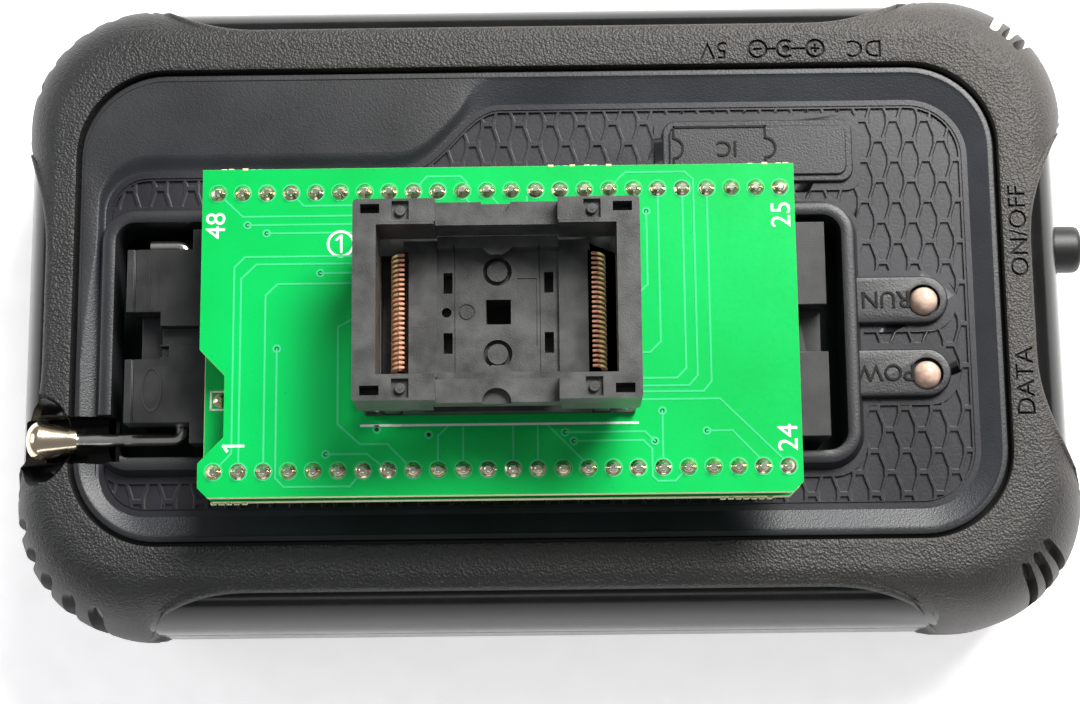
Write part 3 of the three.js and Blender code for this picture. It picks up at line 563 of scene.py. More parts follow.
def make_piece(
    name, bm, body, slot, materials, replaces=(), bevel=0.0, sharp=35, segments=2, paint=None
):
    """Turns a bmesh in millimetres into a finished piece in metres."""
    bmesh.ops.recalc_face_normals(bm, faces=bm.faces)
    bmesh.ops.scale(bm, vec=(MM, MM, MM), verts=bm.verts)
    mesh = bpy.data.meshes.new(name)
    if paint:
        for face in bm.faces:
            face.material_index = paint(face)
    open_edges = sum(1 for e in bm.edges if not e.is_manifold)
    bm.to_mesh(mesh)
    bm.free()
    for material in materials if isinstance(materials, (list, tuple)) else [materials]:
        mesh.materials.append(material)
    mesh.polygons.foreach_set("use_smooth", [True] * len(mesh.polygons))
    mesh.set_sharp_from_angle(angle=math.radians(sharp))
    obj = bpy.data.objects.new(name, mesh)
    bpy.context.scene.collection.objects.link(obj)
    if bevel:
        soft = obj.modifiers.new("soft_edges", "BEVEL")
        soft.width = bevel * MM
        soft.segments = segments
        soft.limit_method = "ANGLE"
        soft.angle_limit = math.radians(35)
        soft.use_clamp_overlap = True
    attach(obj, body)
    if replaces:
        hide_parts(*replaces)
    print(f"{name}: {len(mesh.polygons)} faces, {open_edges} open edges")


def turned_at(x, y, z, degrees):
    """A turn about the upright axis, then a move."""
    return Matrix.Translation((x, y, z)) @ Matrix.Rotation(math.radians(degrees), 4, "Z")


def lettering(text, size, at, turn, z0, z1):
    """Letters as a solid between two heights, centred on at and turned in degrees."""
    curve = bpy.data.curves.new("letters", "FONT")
    curve.body = text
    curve.size = size
    curve.extrude = (z1 - z0) / 2
    curve.align_x, curve.align_y = "CENTER", "CENTER"
    curve.resolution_u = 3
    obj = bpy.data.objects.new("letters", curve)
    bpy.context.scene.collection.objects.link(obj)
    bm = bmesh.new()
    bm.from_mesh(obj.evaluated_get(bpy.context.evaluated_depsgraph_get()).to_mesh())
    bpy.data.objects.remove(obj)
    bpy.data.curves.remove(curve)
    bmesh.ops.remove_doubles(bm, verts=bm.verts, dist=WELD)
    bmesh.ops.transform(bm, matrix=turned_at(*at, (z0 + z1) / 2, turn), verts=bm.verts)
    return bm


print("shape helpers ready")

# %% [markdown]
# ## The hard case
#
# The case is two polished shells that meet at a seam round the middle. In section each is a wall
# that stands up straight, then rolls over in a quarter ellipse, so each is one profile swept round
# a rounded rectangle. The profile is a closed loop, outside and inside, so the wall is a true
# solid. The ports, the button and the lever's slot are then cut out of it.

# %% Sizes of the case
CASE = {"half_x": 57.3, "half_y": 35.0, "corner": 16.0, "at": (0.5, 0.25)}
CASE |= {"seam": 13.5, "top": 24.7, "bottom": 2.3, "wall": 2.0, "inwards": 9.4}
WINDOW = {"half_x": 50.2, "half_y": 26.2, "corner": 9.6}
BUMPER = {"half_x": 58.4, "half_y": 35.7, "corner": 14.0, "at": (0.95, 0.5)}
BUMPER |= {"top": 26.0, "bottom": 1.0}
LEVER_Y = -14.6
SLOT = {"y0": -17.2, "y1": -12.1, "floor": 21.4, "end": -44.6}
DISH = {"x": -53.9, "reach": (4.1, 5.0, 3.9)}
PORT_Z, PORT_TOP = 9.6, 18.9  # the ports stay under the roll of the wall
USB_Y, USB_HALF = -9.4, 6.3
JACK_X, JACK_HALF = 19.0, 4.8
BUTTON = {"y": 7.5, "z": 14.6, "r": 2.65, "tip": 60.9}
GAP = 0.3  # air between a port or the button and the wall
ABOVE = 50  # higher than anything, for cuts that are open at the top


def quarter(inset0, z0, inset1, z1, steps=9):
    """Quarter ellipse from an upright start (inset0, z0) to a level end (inset1, z1)."""
    turn = [i / steps * math.pi / 2 for i in range(steps + 1)]
    return [
        (between(inset0, inset1, 1 - math.cos(a)), between(z0, z1, math.sin(a))) for a in turn
    ]


def port_cutters():
    """Openings for the data port and the button on the right end, and the inlet at the back."""
    bm = bmesh.new()
    block(bm, 50, 70, USB_Y - USB_HALF, USB_Y + USB_HALF, PORT_Z - GAP, PORT_TOP + 0.2)
    block(bm, JACK_X - JACK_HALF, JACK_X + JACK_HALF, 30, 45, PORT_Z - GAP, PORT_TOP + 0.2)
    rod(bm, "x", BUTTON["r"] + GAP, 50, 70, (BUTTON["y"], BUTTON["z"]), 40)
    return bm


def lever_way(drop=0.0):
    """The lever's slot through the end of the case, and the fingertip's hollow round its knob."""
    bm = bmesh.new()
    block(bm, -75, SLOT["end"], SLOT["y0"], SLOT["y1"], SLOT["floor"] - drop, 45)
    ball = bmesh.ops.create_uvsphere(bm, u_segments=40, v_segments=24, radius=1)["verts"]
    bmesh.ops.scale(bm, vec=DISH["reach"], verts=ball)
    bmesh.ops.translate(bm, vec=(DISH["x"], LEVER_Y, BUMPER["top"] - drop * 0.5), verts=ball)
    return bm


def shell_ring(seam, chamfer, outside, inside):
    """A wall from the seam over its roll and back, from its outer and inner curves."""
    inwards = CASE["inwards"]
    profile = [(0.2, seam), (0.0, seam + chamfer), *outside, (inwards, outside[-1][1])]
    profile += [(inwards, inside[-1][1]), *reversed(inside), (CASE["wall"], seam)]
    return ring_of(profile, CASE["half_x"], CASE["half_y"], CASE["corner"], CASE["at"])


# %% Upper wall
outside, inside = quarter(0, 15.7, 4.7, CASE["top"], 11), quarter(2, 14.7, 6.7, 22.7, 7)
wall = shell_ring(CASE["seam"], 0.25, outside, inside)
tray = bmesh.new()
block(tray, -54.6, SLOT["end"] - 1.4, SLOT["y0"] - 1.5, SLOT["y1"] + 1.5, SLOT["floor"] - 1.5, 22.6)
wall = combine(wall, tray, "UNION")
wall = combine(wall, port_cutters())
wall = combine(wall, lever_way())
make_piece("case_upper_wall", wall, "case", "shell_plastic", GLOSS, ["upper_shell"], sharp=30)

# %% Lower wall and base plate
outside, inside = quarter(0, 7.3, 4.0, CASE["bottom"], 9), quarter(2, 8.3, 5.6, 4.3, 6)
lower = shell_ring(CASE["seam"] - 0.06, -0.24, outside, inside)
lower = combine(lower, port_cutters())
make_piece("case_lower_wall", lower, "case", "shell_plastic", GLOSS, ["lower_shell"], sharp=30)

FOOT_X, FOOT_Y = 40, 18
base = bmesh.new()
plate(base, -49.9, 49.9, -25.9, 25.9, 1.4, 4.3, 9.4, 16)
hollows = bmesh.new()
for sx, sy in CORNERS:
    rod(hollows, "z", 4.15, 0, 2.1, (sx * FOOT_X, sy * FOOT_Y), 40)
plate(hollows, -27, 27, -13, 13, 0, 1.65, 2.5, 8)  # the label's recess
for x in range(-16, 17, 4):  # vents
    plate(hollows, x - 0.6, x + 0.6, 16.5, 22.5, 0, 2.6, 0.55, 5)
base = combine(base, hollows)
make_piece("case_base_plate", base, "case", "shell_plastic", SATIN, bevel=0.25)

FOOT = [(0, 0.12), (3.0, 0.0), (3.6, 0.15), (3.95, 0.6), (4.0, 2.1), (0, 2.1)]
for i, (sx, sy) in enumerate(CORNERS, 1):
    foot = bmesh.new()
    lathe(foot, FOOT, "z", (sx * FOOT_X, sy * FOOT_Y, 0), 48)
    make_piece(f"round_foot_{i}", foot, "case", "bumper_rubber", FOOT_RUBBER, [f"foot_{i}"])

# %% [markdown]
# ## The bumper
#
# The bumper is a rubber frame that swells over the four corners and is scooped away along the four
# sides, down to the polished wall. It could be cut from a block, but the scooped edges are soft
# rolls, and a cut leaves them hard. So it is a ring again, whose section changes as it goes round:
# at a corner it is a full dome, and along a side it stops at a lip and dives into the wall.

# %% Bumper stations
inner_line = outline_ring(WINDOW["half_x"], WINDOW["half_y"], WINDOW["corner"])
outer_line = outline_ring(BUMPER["half_x"], BUMPER["half_y"], BUMPER["corner"], at=BUMPER["at"])
# each scoop: how far across the frame it leaves rubber, where its straight part and its curved
# part end, and how much the curve widens
LONG_SCOOP = {"edge": 31.1, "straight": 31.0, "tip": 44.6, "widens": 0.56}
SHORT_SCOOP = {"edge": 53.4, "straight": 6.0, "tip": 22.4, "widens": 0.72}
UNCUT = 1.04
FLAT = 0.3  # share of the frame's width that is level
MIDDLE_Z = 11.5
UNDER_WALL = 1.9  # how far the cut edge dives into the wall


def unit(value):
    return min(1.0, max(0.0, value))


def ease(t):
    """An S-curve from 0 to 1."""
    return t * t * (3 - 2 * t)


def blend(a, b, share):
    return tuple(p + (q - p) * share for p, q in zip(a, b))


def scoop_reach(x, y):
    """How far across the frame the rubber goes at a station. From 1 up it isn't cut."""

    def reach(scoop, along, across, window):
        a = max(0.0, (abs(along) - scoop["straight"]) / (scoop["tip"] - scoop["straight"]))
        return (scoop["edge"] - window) / (abs(across) - window) + scoop["widens"] * a**2.6

    if abs(y - BUMPER["at"][1]) > BUMPER["half_y"] - 1e-3:
        return reach(LONG_SCOOP, x, y, WINDOW["half_y"])
    if abs(x - BUMPER["at"][0]) > BUMPER["half_x"] - 1e-3:
        return reach(SHORT_SCOOP, y, x, WINDOW["half_x"])
    return UNCUT


def dome(edge, top, side, steps):
    """Points (across, z) over the top and down a rounded shoulder, cut off at edge."""
    level = [(0.03 + (min(FLAT, edge) - 0.03) * i / 5, top) for i in range(6)]
    end = math.asin(unit((edge - FLAT) / (1 - FLAT)))
    turns = [end * (i + 1) / steps for i in range(steps)]
    return level + [
        (FLAT + (1 - FLAT) * math.sin(a) if edge > FLAT else edge, between(side, top, math.cos(a)))
        for a in turns
    ]


def half_section(reach, width, top, side, steps, lip):
    """Half of the bumper's section, from the window's edge to the middle of the side."""
    up = 1 if top > side else -1
    full = ease(unit((reach - 0.76) / 0.26))  # 1 where the corner is whole
    edge = min(1.0, reach - lip / width * (1 - full))
    points = [(0.0, top - 1.6 * up), (0.0, top - 0.25 * up), (0.008, top - 0.07 * up)]
    points += dome(edge, top, side, steps)
    across, z = points[-1]
    for i in range(1, 6):
        a = i / 5 * math.pi / 2
        rolled = (across + lip / width * math.sin(a), z - lip * up * (1 - math.cos(a)))
        points.append(blend(rolled, (1.0, side - (side - MIDDLE_Z) * i / 12), full))
    for i in range(1, 5):
        t = i / 4
        dive = points[-1][0] if i == 1 else 1 - UNDER_WALL / width
        drop = (dive, between(z, MIDDLE_Z, 0.25 + 0.75 * t))
        points.append(blend(drop, (1.0, side - (side - MIDDLE_Z) * (5 / 12 + 7 / 12 * t)), full))
    return points, full


def bumper_section(i):
    """The whole closed section at one station: over the top, down the side, under and back."""
    reach = scoop_reach(*outer_line[i])
    width = float(np.linalg.norm(outer_line[i] - inner_line[i]))
    above, full = half_section(reach, width, BUMPER["top"], 13.5, 11, 0.9)
    below, _ = half_section(reach, width, BUMPER["bottom"], 8.0, 7, 0.6)
    wall_side = 1 - (1.45 * full + 2.6 * (1 - full)) / width
    back = [(0.35, 3.2), (wall_side, 8.0), (wall_side, 15.5), (0.35, 24.0)]
    return above + list(reversed(below))[1:] + back


sections = [bumper_section(i) for i in range(len(outer_line))]


def bumper_point(i, j):
    across, z = sections[i][j]
    return (*between(inner_line[i], outer_line[i], across), z)


bumper = swept_ring(bumper_point, len(outer_line), len(sections[0]))
print("bumper stations:", len(outer_line), "points in a section:", len(sections[0]))

# %% [markdown]
# The corners on the lever's side have five round-ended grip cuts each, and the other two have three
# narrow slots. They are capsules laid square to the corner's curve and cut out in one go, with the
# lever's slot and the lettering for the ports. The letters on the ends are plain words and signs.


# %% Grip cuts and lettering
def grip_cut(bm, at, angle, width, length, low):
    """An upright slot with a round inner end, pointing outwards at an angle."""
    cut = bmesh.new()
    plate(cut, 0, length + 4, -width / 2, width / 2, low, 40, width / 2 - 0.01, 5)
    bmesh.ops.transform(cut, matrix=turned_at(*at, 0, angle), verts=cut.verts)
    pour(cut, bm)


# the angles of each corner's cuts, the corner's side in x and y, and the cuts' width, depth and
# lower end
GRIPS = (
    ((164, 150, 136.5, 123, 109), -1, 1, 1.75, 2.2, 3.5),
    ((191, 205.5, 220, 235, 250), -1, -1, 1.8, 2.3, 3.5),
    ((57, 47.5, 38), 1, 1, 1.15, 4.4, 13.5),
    ((-54.5, -44.5, -34.5), 1, -1, 1.2, 4.6, 13.5),
)
cuts = bmesh.new()
radius = BUMPER["corner"]
for angles, sx, sy, width, depth, low in GRIPS:
    for angle in angles:
        a = math.radians(angle)
        x = sx * (BUMPER["half_x"] - radius) + BUMPER["at"][0] + (radius - depth) * math.cos(a)
        y = sy * (BUMPER["half_y"] - radius) + BUMPER["at"][1] + (radius - depth) * math.sin(a)
        grip_cut(cuts, (x, y), angle, width, depth, low)
print("grip cuts:", sum(len(corner[0]) for corner in GRIPS))


def sign_ring(bm, at, radius, width, z0, z1, opening=0.0):
    """A flat ring, or a C when opening is given, in degrees, facing +X."""
    start = math.radians(opening / 2)
    inner, outer = radius - width / 2, radius + width / 2
    first = [
        bm.verts.new((at[0] + r * math.cos(start), at[1] + r * math.sin(start), z))
        for r, z in ((inner, z0), (outer, z0), (outer, z1), (inner, z1))
    ]
    edges = [bm.edges.new((first[i - 1], first[i])) for i in range(4)]
    whole = opening == 0
    last = bmesh.ops.spin(
        bm,
        geom=first + edges,
        cent=(*at, 0),
        axis=(0, 0, 1),
        angle=2 * math.pi - 2 * start,
        steps=32,
        use_merge=whole,
    )["geom_last"]
    if not whole:
        bmesh.ops.contextual_create(bm, geom=edges)
        end = [g for g in last if isinstance(g, bmesh.types.BMEdge)]
        bmesh.ops.contextual_create(bm, geom=end)


# %% Words on the bumper
WORD_SIZE, SIGN_Y = 2.8, 27.85
WORDS = [
    ("DC", (36.1, SIGN_Y), 180),
    ("5V", (19.6, SIGN_Y), 180),
    ("ON/OFF", (52.0, 6.9), 90),
    ("DATA", (51.9, -9.6), 90),
]


def frame_letters(z0, z1):
    """The words and the polarity sign on the bumper, as solids between two heights."""
    signs = bmesh.new()
    bar = (27.72, 27.98, z0, z1)
    for x in (30.7, 24.4):
        sign_ring(signs, (x, SIGN_Y), 0.95, 0.3, z0, z1)
        block(signs, x - 0.5, x + 0.5, *bar)
    block(signs, 30.57, 30.83, 28.0, 28.35, z0, z1)
    block(signs, 30.57, 30.83, 27.35, 27.7, z0, z1)
    sign_ring(signs, (27.45, SIGN_Y), 0.95, 0.3, z0, z1, opening=100)
    rod(signs, "z", 0.42, z0, z1, (27.5, SIGN_Y), 20)
    block(signs, 25.45, 26.4, *bar)
    block(signs, 28.0, 29.65, *bar)
    return gather(*(lettering(w, WORD_SIZE, at, turn, z0, z1) for w, at, turn in WORDS), signs)


bumper = combine(bumper, cuts)
bumper = combine(bumper, lever_way(0.6))
bumper = combine(bumper, frame_letters(25.6, 27.0))
make_piece("rubber_frame", bumper, "case", "bumper_rubber", RUBBER, ["rubber_bumper"], sharp=40)
# a near-black sheet in the floors of the cut letters: painted shade in the recesses
make_piece("frame_letter_floor_shade", frame_letters(25.3, 25.68), "case", "bumper_rubber", LETTER_SHADE)

# %% [markdown]
# ## The deck
#
# Inside the bumper the deck is a polished lip, then a band that slopes down to a sunk honeycomb
# field. At the upper left the band widens into a flat area, and the field's edge steps in with an
# S-curve. The lip and band are one ring between two outlines, the lip's and the field's, with its
# height worked out from the distance to the field.

# %% Deck ring
FIELD = {"left": -47.1, "right": 47.0, "top": 22.2, "bottom": -22.9, "step": 14.9, "corner": 6.4}
LIP = {"half_x": 49.75, "half_y": 25.75, "corner": 9.2}
DECK_TOP = 25.45
FIELD_Z = 24.55
UNDER_DECK = 23.2


def line(a, b, count):
    """Points along a straight line, without its last."""
    return [tuple(a[k] + (b[k] - a[k]) * i / count for k in (0, 1)) for i in range(count)]


def arc(centre, r, start, end, count):
    """Points along an arc from one angle to another, in degrees, without its last."""
    angles = [math.radians(start + (end - start) * i / count) for i in range(count)]
    return [(centre[0] + r * math.cos(a), centre[1] + r * math.sin(a)) for a in angles]


def bend(a, b, c, d, count):
    """Points on a Bezier curve, without its last."""
    points = []
    for t in (i / count for i in range(count)):
        weights = ((1 - t) ** 3, 3 * t * (1 - t) ** 2, 3 * t * t * (1 - t), t**3)
        points.append(tuple(sum(w * p[k] for w, p in zip(weights, (a, b, c, d))) for k in (0, 1)))
    return points


LONG, BEND, SHORT = 30, 20, 14  # stations on each stretch, the same for both outlines
BEND_X0, BEND_X1 = -4, -15.5  # where the field's S-curve starts and ends


def deck_outline(left, right, bottom, top, step, radii, curve):
    """An outline from four limits, the far edge left of the curve and the four corner radii."""
    near_left, near_right, far_right, far_left = radii
    return (
        line((left + near_left, bottom), (right - near_right, bottom), LONG)
        + arc((right - near_right, bottom + near_right), near_right, -90, 0, SHORT)
        + line((right, bottom + near_right), (right, top - far_right), SHORT)
        + arc((right - far_right, top - far_right), far_right, 0, 90, SHORT)
        + line((right - far_right, top), (BEND_X0, top), SHORT)
        + curve
        + line((BEND_X1, step), (left + far_left, step), SHORT)
        + arc((left + far_left, step - far_left), far_left, 90, 180, SHORT)
        + line((left, step - far_left), (left, bottom + near_left), SHORT)
        + arc((left + near_left, bottom + near_left), near_left, 180, 270, SHORT)
    )


far, step, corner = FIELD["top"], FIELD["step"], FIELD["corner"]
s_curve = bend((BEND_X0, far), (-8.5, far), (-10.5, step), (BEND_X1, step), BEND)
field_line = deck_outline(
    FIELD["left"], FIELD["right"], FIELD["bottom"], far, step, (5.0, corner, corner, 4.6), s_curve
)
lip_x, lip_y = LIP["half_x"], LIP["half_y"]
straight = line((BEND_X0, lip_y), (BEND_X1, lip_y), BEND)
lip_line = deck_outline(-lip_x, lip_x, -lip_y, lip_y, lip_y, (LIP["corner"],) * 4, straight)
print("field outline has", len(field_line), "points, lip outline", len(lip_line))


def deck_section(i):
    """Profile (distance from the field's edge, z) at one station."""
    span = math.dist(field_line[i], lip_line[i])
    wide = unit((span - 3.9) / 2)  # 1 where the band widens into the flat area
    slope_end = (span - 0.75) * (1 - wide) + 1.9 * wide
    points = [(0.0, UNDER_DECK), (0.0, FIELD_Z - 0.1)]
    for k in range(9):
        t = k / 8
        climb = t * (1 - wide) + ease(t) * wide
        points.append((0.05 + slope_end * t, between(FIELD_Z, DECK_TOP - 0.08, climb)))
    points += [(max(span - 0.7, slope_end), DECK_TOP - 0.08), (span - 0.6, DECK_TOP)]
    points += [(span - 0.16, DECK_TOP), (span - 0.05, DECK_TOP - 0.05), (span, DECK_TOP - 0.17)]
    return [(d / span, z) for d, z in points + [(span, UNDER_DECK)]]


deck_sections = [deck_section(i) for i in range(len(field_line))]


def deck_point(i, j):
    share, z = deck_sections[i][j]
    return (*blend(field_line[i], lip_line[i], share), z)


deck = swept_ring(deck_point, len(field_line), len(deck_sections[0]))
deck = combine(deck, lever_way())


def band_face(face):
    """The sloping band has a finer grain than the lip and the name area."""
    z = face.calc_center_median().z / MM
    return 1 if FIELD_Z < z < DECK_TOP - 0.1 and face.normal.z > 0.5 else 0


make_piece("deck_ring", deck, "case", "shell_plastic", [SATIN, BAND], paint=band_face)

# %% [markdown]
# ## The honeycomb field
#
# The sunk field is covered with tall hexagonal pockets, each with leaning walls that catch the
# light as a thin line, and narrow ribs between them. One pocket is drawn, copied down the columns,
# clipped to the part of the field that stays free, and the whole set is cut out of a flat plate.
# The columns are 1.71 mm apart, and each is half a pocket lower than the one before.

# %% Honeycomb
CELL = {"dx": 1.71, "dy": 4.593, "x": 35.7, "y": 17.75}  # spacing, and the middle of one pocket
CELL |= {"flat": 0.44, "half": 1.0, "tall": 2.1, "depth": 0.3}
FOOT_SHARE, TOP_SHARE = (0.82, 0.93), (0.76, 0.9)  # how a pocket narrows downwards
WELL = {"x0": -45.6, "x1": 32.7, "y0": -16.7, "y1": 8.9, "corner": 2.0}
TAB_YS = (-0.4, -8.4)
SIGN = (13.8, 34.5, 13.0, 20.0)


def pockets():
    """The middles of the pockets that show: in the field, beside the well and the flat area."""
    shown = []
    for column in range(-50, 8):
        x = CELL["x"] + column * CELL["dx"]
        y0 = CELL["y"] + (CELL["dy"] / 2 if column % 2 else 0)
        for row in range(-11, 3):
            y = y0 + row * CELL["dy"]
            covered = WELL["x0"] < x < WELL["x1"] and WELL["y0"] + 2 < y < WELL["y1"] - 2
            in_x = FIELD["left"] - 1 < x < FIELD["right"] + 1
            in_y = FIELD["bottom"] - 2 < y < FIELD["top"] + 2
            in_flat_area = x < -16 and y > FIELD["step"] + 2.4
            if in_x and in_y and not covered and not in_flat_area:
                shown.append((x, y))
    return shown


def inset_outline(points, amount):
    """A closed outline moved inwards, for one that runs anticlockwise."""
    out = []
    for i, (x, y) in enumerate(points):
        ax, ay = points[i - 1]
        bx, by = points[(i + 1) % len(points)]
        length = math.hypot(bx - ax, by - ay)
        out.append((x - (by - ay) / length * amount, y + (bx - ax) / length * amount))
    return out


cells = bmesh.new()
flat, half, tall = CELL["flat"], CELL["half"], CELL["tall"]
right = [(flat, -tall), (half, -0.5), (half, 0.5), (flat, tall)]
hexagon = right + [(-px, py) for px, py in reversed(right)]
for x, y in pockets():
    foot = [(x + px * FOOT_SHARE[0], y + py * FOOT_SHARE[1]) for px, py in hexagon]
    for v in slab(cells, foot, FIELD_Z - CELL["depth"], FIELD_Z + 0.2):
        v.co.x = x + (v.co.x - x) / TOP_SHARE[0]
        v.co.y = y + (v.co.y - y) / TOP_SHARE[1]
THROUGH = (20, 30)  # heights of a cut that goes through the whole deck
free = bmesh.new()
slab(free, inset_outline(field_line, 0.85), 22, 27)
taken = bmesh.new()
well_x, well_y = (WELL["x0"] - 2.3, WELL["x1"] + 2.3), (WELL["y0"] - 2.7, WELL["y1"] + 2.2)
plate(taken, *well_x, *well_y, *THROUGH, 3.6)
for y in TAB_YS:
    plate(taken, 30, 45.2, y - 3.4, y + 3.4, *THROUGH, 3.39, 10)
plate(taken, SIGN[0] - 0.9, SIGN[1] + 0.9, SIGN[2] - 0.9, SIGN[3] + 0.9, *THROUGH, 1.6)
free = combine(free, taken)
cells = combine(cells, free, "INTERSECT")
print("pockets drawn:", len(pockets()), "cutter faces after clipping:", len(cells.faces))

# %% Field
field = bmesh.new()
slab(field, inset_outline(field_line, -0.2), 23.3, FIELD_Z)
opening = bmesh.new()
well_x, well_y = (WELL["x0"] - 0.6, WELL["x1"] + 0.6), (WELL["y0"] - 0.6, WELL["y1"] + 0.6)
plate(opening, *well_x, *well_y, *THROUGH, 2.5)
field = combine(field, opening)
field = combine(field, cells)
border = bmesh.new()
slab(border, inset_outline(field_line, 0.55), FIELD_Z - 0.14, FIELD_Z + 1)
inside = bmesh.new()
slab(inside, inset_outline(field_line, 0.75), FIELD_Z - 1, FIELD_Z + 2)
border = combine(border, inside)
field = combine(field, border)
field = combine(field, lever_way())


def leaning(face):
    """A pocket's leaning walls get a lighter finish, a painted highlight."""
    return 1 if 0.15 < abs(face.normal.z) < 0.97 else 0


bmesh.ops.recalc_face_normals(field, faces=field.faces)
finishes = [POCKET, POCKET_EDGE_HIGHLIGHT]
make_piece("honeycomb_field", field, "case", "shell_plastic", finishes, sharp=3, paint=leaning)

# %% [markdown]
# ## The socket's rim, the light tabs and the chip sign
#
# A raised rim goes round the opening for the lever socket. Two tongues grow out of it on the right
# and carry the lights, with a name on each. Above them, a raised plate shows which way round a chip
# goes. The rim is a small section swept round the opening; the tongues are rounded slabs joined to
# it before its edges are softened.

# %% Rim and tabs
RIM = [(0.0, 20.5), (0.0, 25.85), (-0.1, 26.1), (-0.35, 26.2), (-1.15, 26.2), (-1.4, 26.08)]
RIM += [(-1.55, 25.8), (-2.0, 24.5), (-2.0, 24.0), (-1.2, 24.0), (-1.2, 20.5)]
middle = ((WELL["x0"] + WELL["x1"]) / 2, (WELL["y0"] + WELL["y1"]) / 2)
half_x, half_y = (WELL["x1"] - WELL["x0"]) / 2, (WELL["y1"] - WELL["y0"]) / 2
rim = ring_of(RIM, half_x, half_y, WELL["corner"], middle, (40, 20, 12))
TAB = {"start": 33.4, "end": 41.55, "half": 2.6, "top": 25.45}
tabs, holes = bmesh.new(), bmesh.new()
for y in TAB_YS:
    y0, y1 = y - TAB["half"], y + TAB["half"]
    round_end = arc((TAB["end"], y), TAB["half"], -90, 90, 16)
    outline = [(TAB["start"], y0), *round_end, (TAB["end"], y1), (TAB["start"], y1)]
    top = slab(tabs, outline, 24.0, TAB["top"])
    edges = [e for e in {e for v in top for e in v.link_edges} if all(v in top for v in e.verts)]
    soften(tabs, edges, 0.35, 3)
    rod(holes, "z", 1.78, *THROUGH, (41.5, y - 0.15), 40)
rim = combine(rim, tabs, "UNION")
rim = combine(rim, holes)
rim = combine(rim, lever_way())
make_piece("socket_rim", rim, "case", "shell_plastic", SATIN, sharp=30)
words = gather(
    lettering("RUN", 2.6, (37.4, TAB_YS[0] + 0.1), 180, TAB["top"] - 0.1, TAB["top"] + 0.15),
    lettering("POW", 2.6, (37.2, TAB_YS[1] + 0.1), 180, TAB["top"] - 0.1, TAB["top"] + 0.15),
)
# the raised letters are near-black: painted shade
make_piece("tab_lettering", words, "case", "shell_plastic", LETTER_SHADE)

# %% Chip sign
sign = bmesh.new()
x0, x1, y0, y1 = SIGN
plate(sign, x0, x1, y0, y1, 24.2, 25.0, 1.4, 8)
plate(sign, x0 + 0.7, x1 - 0.7, y0 + 0.7, y1 - 0.7, 24.9, 25.28, 1.0, 8)
make_piece("chip_sign", sign, "case", "shell_plastic", SATIN, bevel=0.16, segments=3)


def rib(bm, points, width, z0, z1):
    """A raised line through points, each stretch a hair higher than the last."""
    half = width / 2
    for step, (a, b) in enumerate(zip(points, points[1:])):
        along = Vector((b[0] - a[0], b[1] - a[1], 0))
        made = block(bm, 0, along.length + width * 0.98, -half, half, z0, z1 + step * 0.003)
        bmesh.ops.translate(bm, vec=(-width * 0.49, 0, 0), verts=made)
        turn = Matrix.Rotation(math.atan2(along.y, along.x), 4, "Z")
        bmesh.ops.transform(bm, matrix=Matrix.Translation((*a, 0)) @ turn, verts=made)


MARK_Z, MARK_WIDTH = (25.2, 25.42), 0.22
marks = bmesh.new()
for x, reach in ((25.0, 1.1), (15.0, 1.0)):
    turns = [math.radians(a) for a in range(20, 180, 20)]
    notch = [(x + reach * math.sin(a), 16.8 + 1.1 * math.cos(a)) for a in turns]
    rib(marks, [(x, 19.2), (x, 17.95), *notch, (x, 15.7), (x, 14.1)], MARK_WIDTH, *MARK_Z)
rib(marks, [(25.0, 19.2), (15.0, 19.2)], MARK_WIDTH, *MARK_Z)
marks = gather(marks, lettering("IC", 2.5, (20.8, 16.8), 180, *MARK_Z))
# the sign's raised lines and its letters are near-black: painted shade
make_piece("chip_sign_marks", marks, "case", "shell_plastic", LETTER_SHADE)

# %% [markdown]
# ## The lever socket
#
# The socket that takes the adapter has a fixed base, with the contacts, and a slider on top that
# the lever pushes along to grip the pins. Their solids are right already, so each is copied, its
# split flat faces are joined up again, and its edges are softened with a Bevel modifier.


# %% Socket base and slider
def cad_copy(node):
    """A CAD node's mesh in millimetres, its corners merged and its flat faces whole again."""
    bm = bmesh.new()
    bm.from_mesh(NODES[node].data)
    bmesh.ops.scale(bm, vec=(1 / MM, 1 / MM, 1 / MM), verts=bm.verts)
    bmesh.ops.remove_doubles(bm, verts=bm.verts, dist=1e-3)
    bmesh.ops.dissolve_limit(
        bm,
        angle_limit=math.radians(1),
        verts=bm.verts,
        edges=bm.edges,
        use_dissolve_boundaries=False,
    )
    return bm


SOCKET_LOOK = ("socket_plastic", SOCKET_BLACK)
foundation = cad_copy("socket_base")
make_piece("lever_socket_base", foundation, "case", *SOCKET_LOOK, ["socket_base"], 0.2)
slider = cad_copy("socket_slider")
trims = bmesh.new()
for y0, y1 in ((-1.9, 5.9), (-13.7, -6.1)):
    block(trims, -43.1, -42.9, y0, y1, 28.15, 29)
block(trims, -40.4, -39.2, -6.3, -5.2, 27.0, 29)
rod(trims, "z", 0.75, 26.0, 29, (29.0, -4.4), 24)
slider = combine(slider, trims)
make_piece("lever_socket_slider", slider, "slider", *SOCKET_LOOK, ["socket_slider"], 0.22)
raised, ring = bmesh.new(), bmesh.new()
raised_z = (28.25, 28.38)
sign_ring(ring, (0, 0), 1.0, 0.14, *raised_z)
bmesh.ops.scale(ring, vec=(1.0, 2.3, 1), verts=ring.verts)
bmesh.ops.translate(ring, vec=(-41.0, -9.8, 0), verts=ring.verts)
for x in (-41.6, -40.6):
    block(raised, x, x + 0.14, -0.8, 4.4, *raised_z)
make_piece("slider_marks", gather(raised, ring), "slider", *SOCKET_LOOK)

# %% [markdown]
# ## The lever
#
# The lever is one steel wire, bent twice, with a turned and plated knob pressed on its end. The
# wire is a circle carried along the bends, and the knob is its profile turned about the wire's
# axis, with a domed cap and a waist.


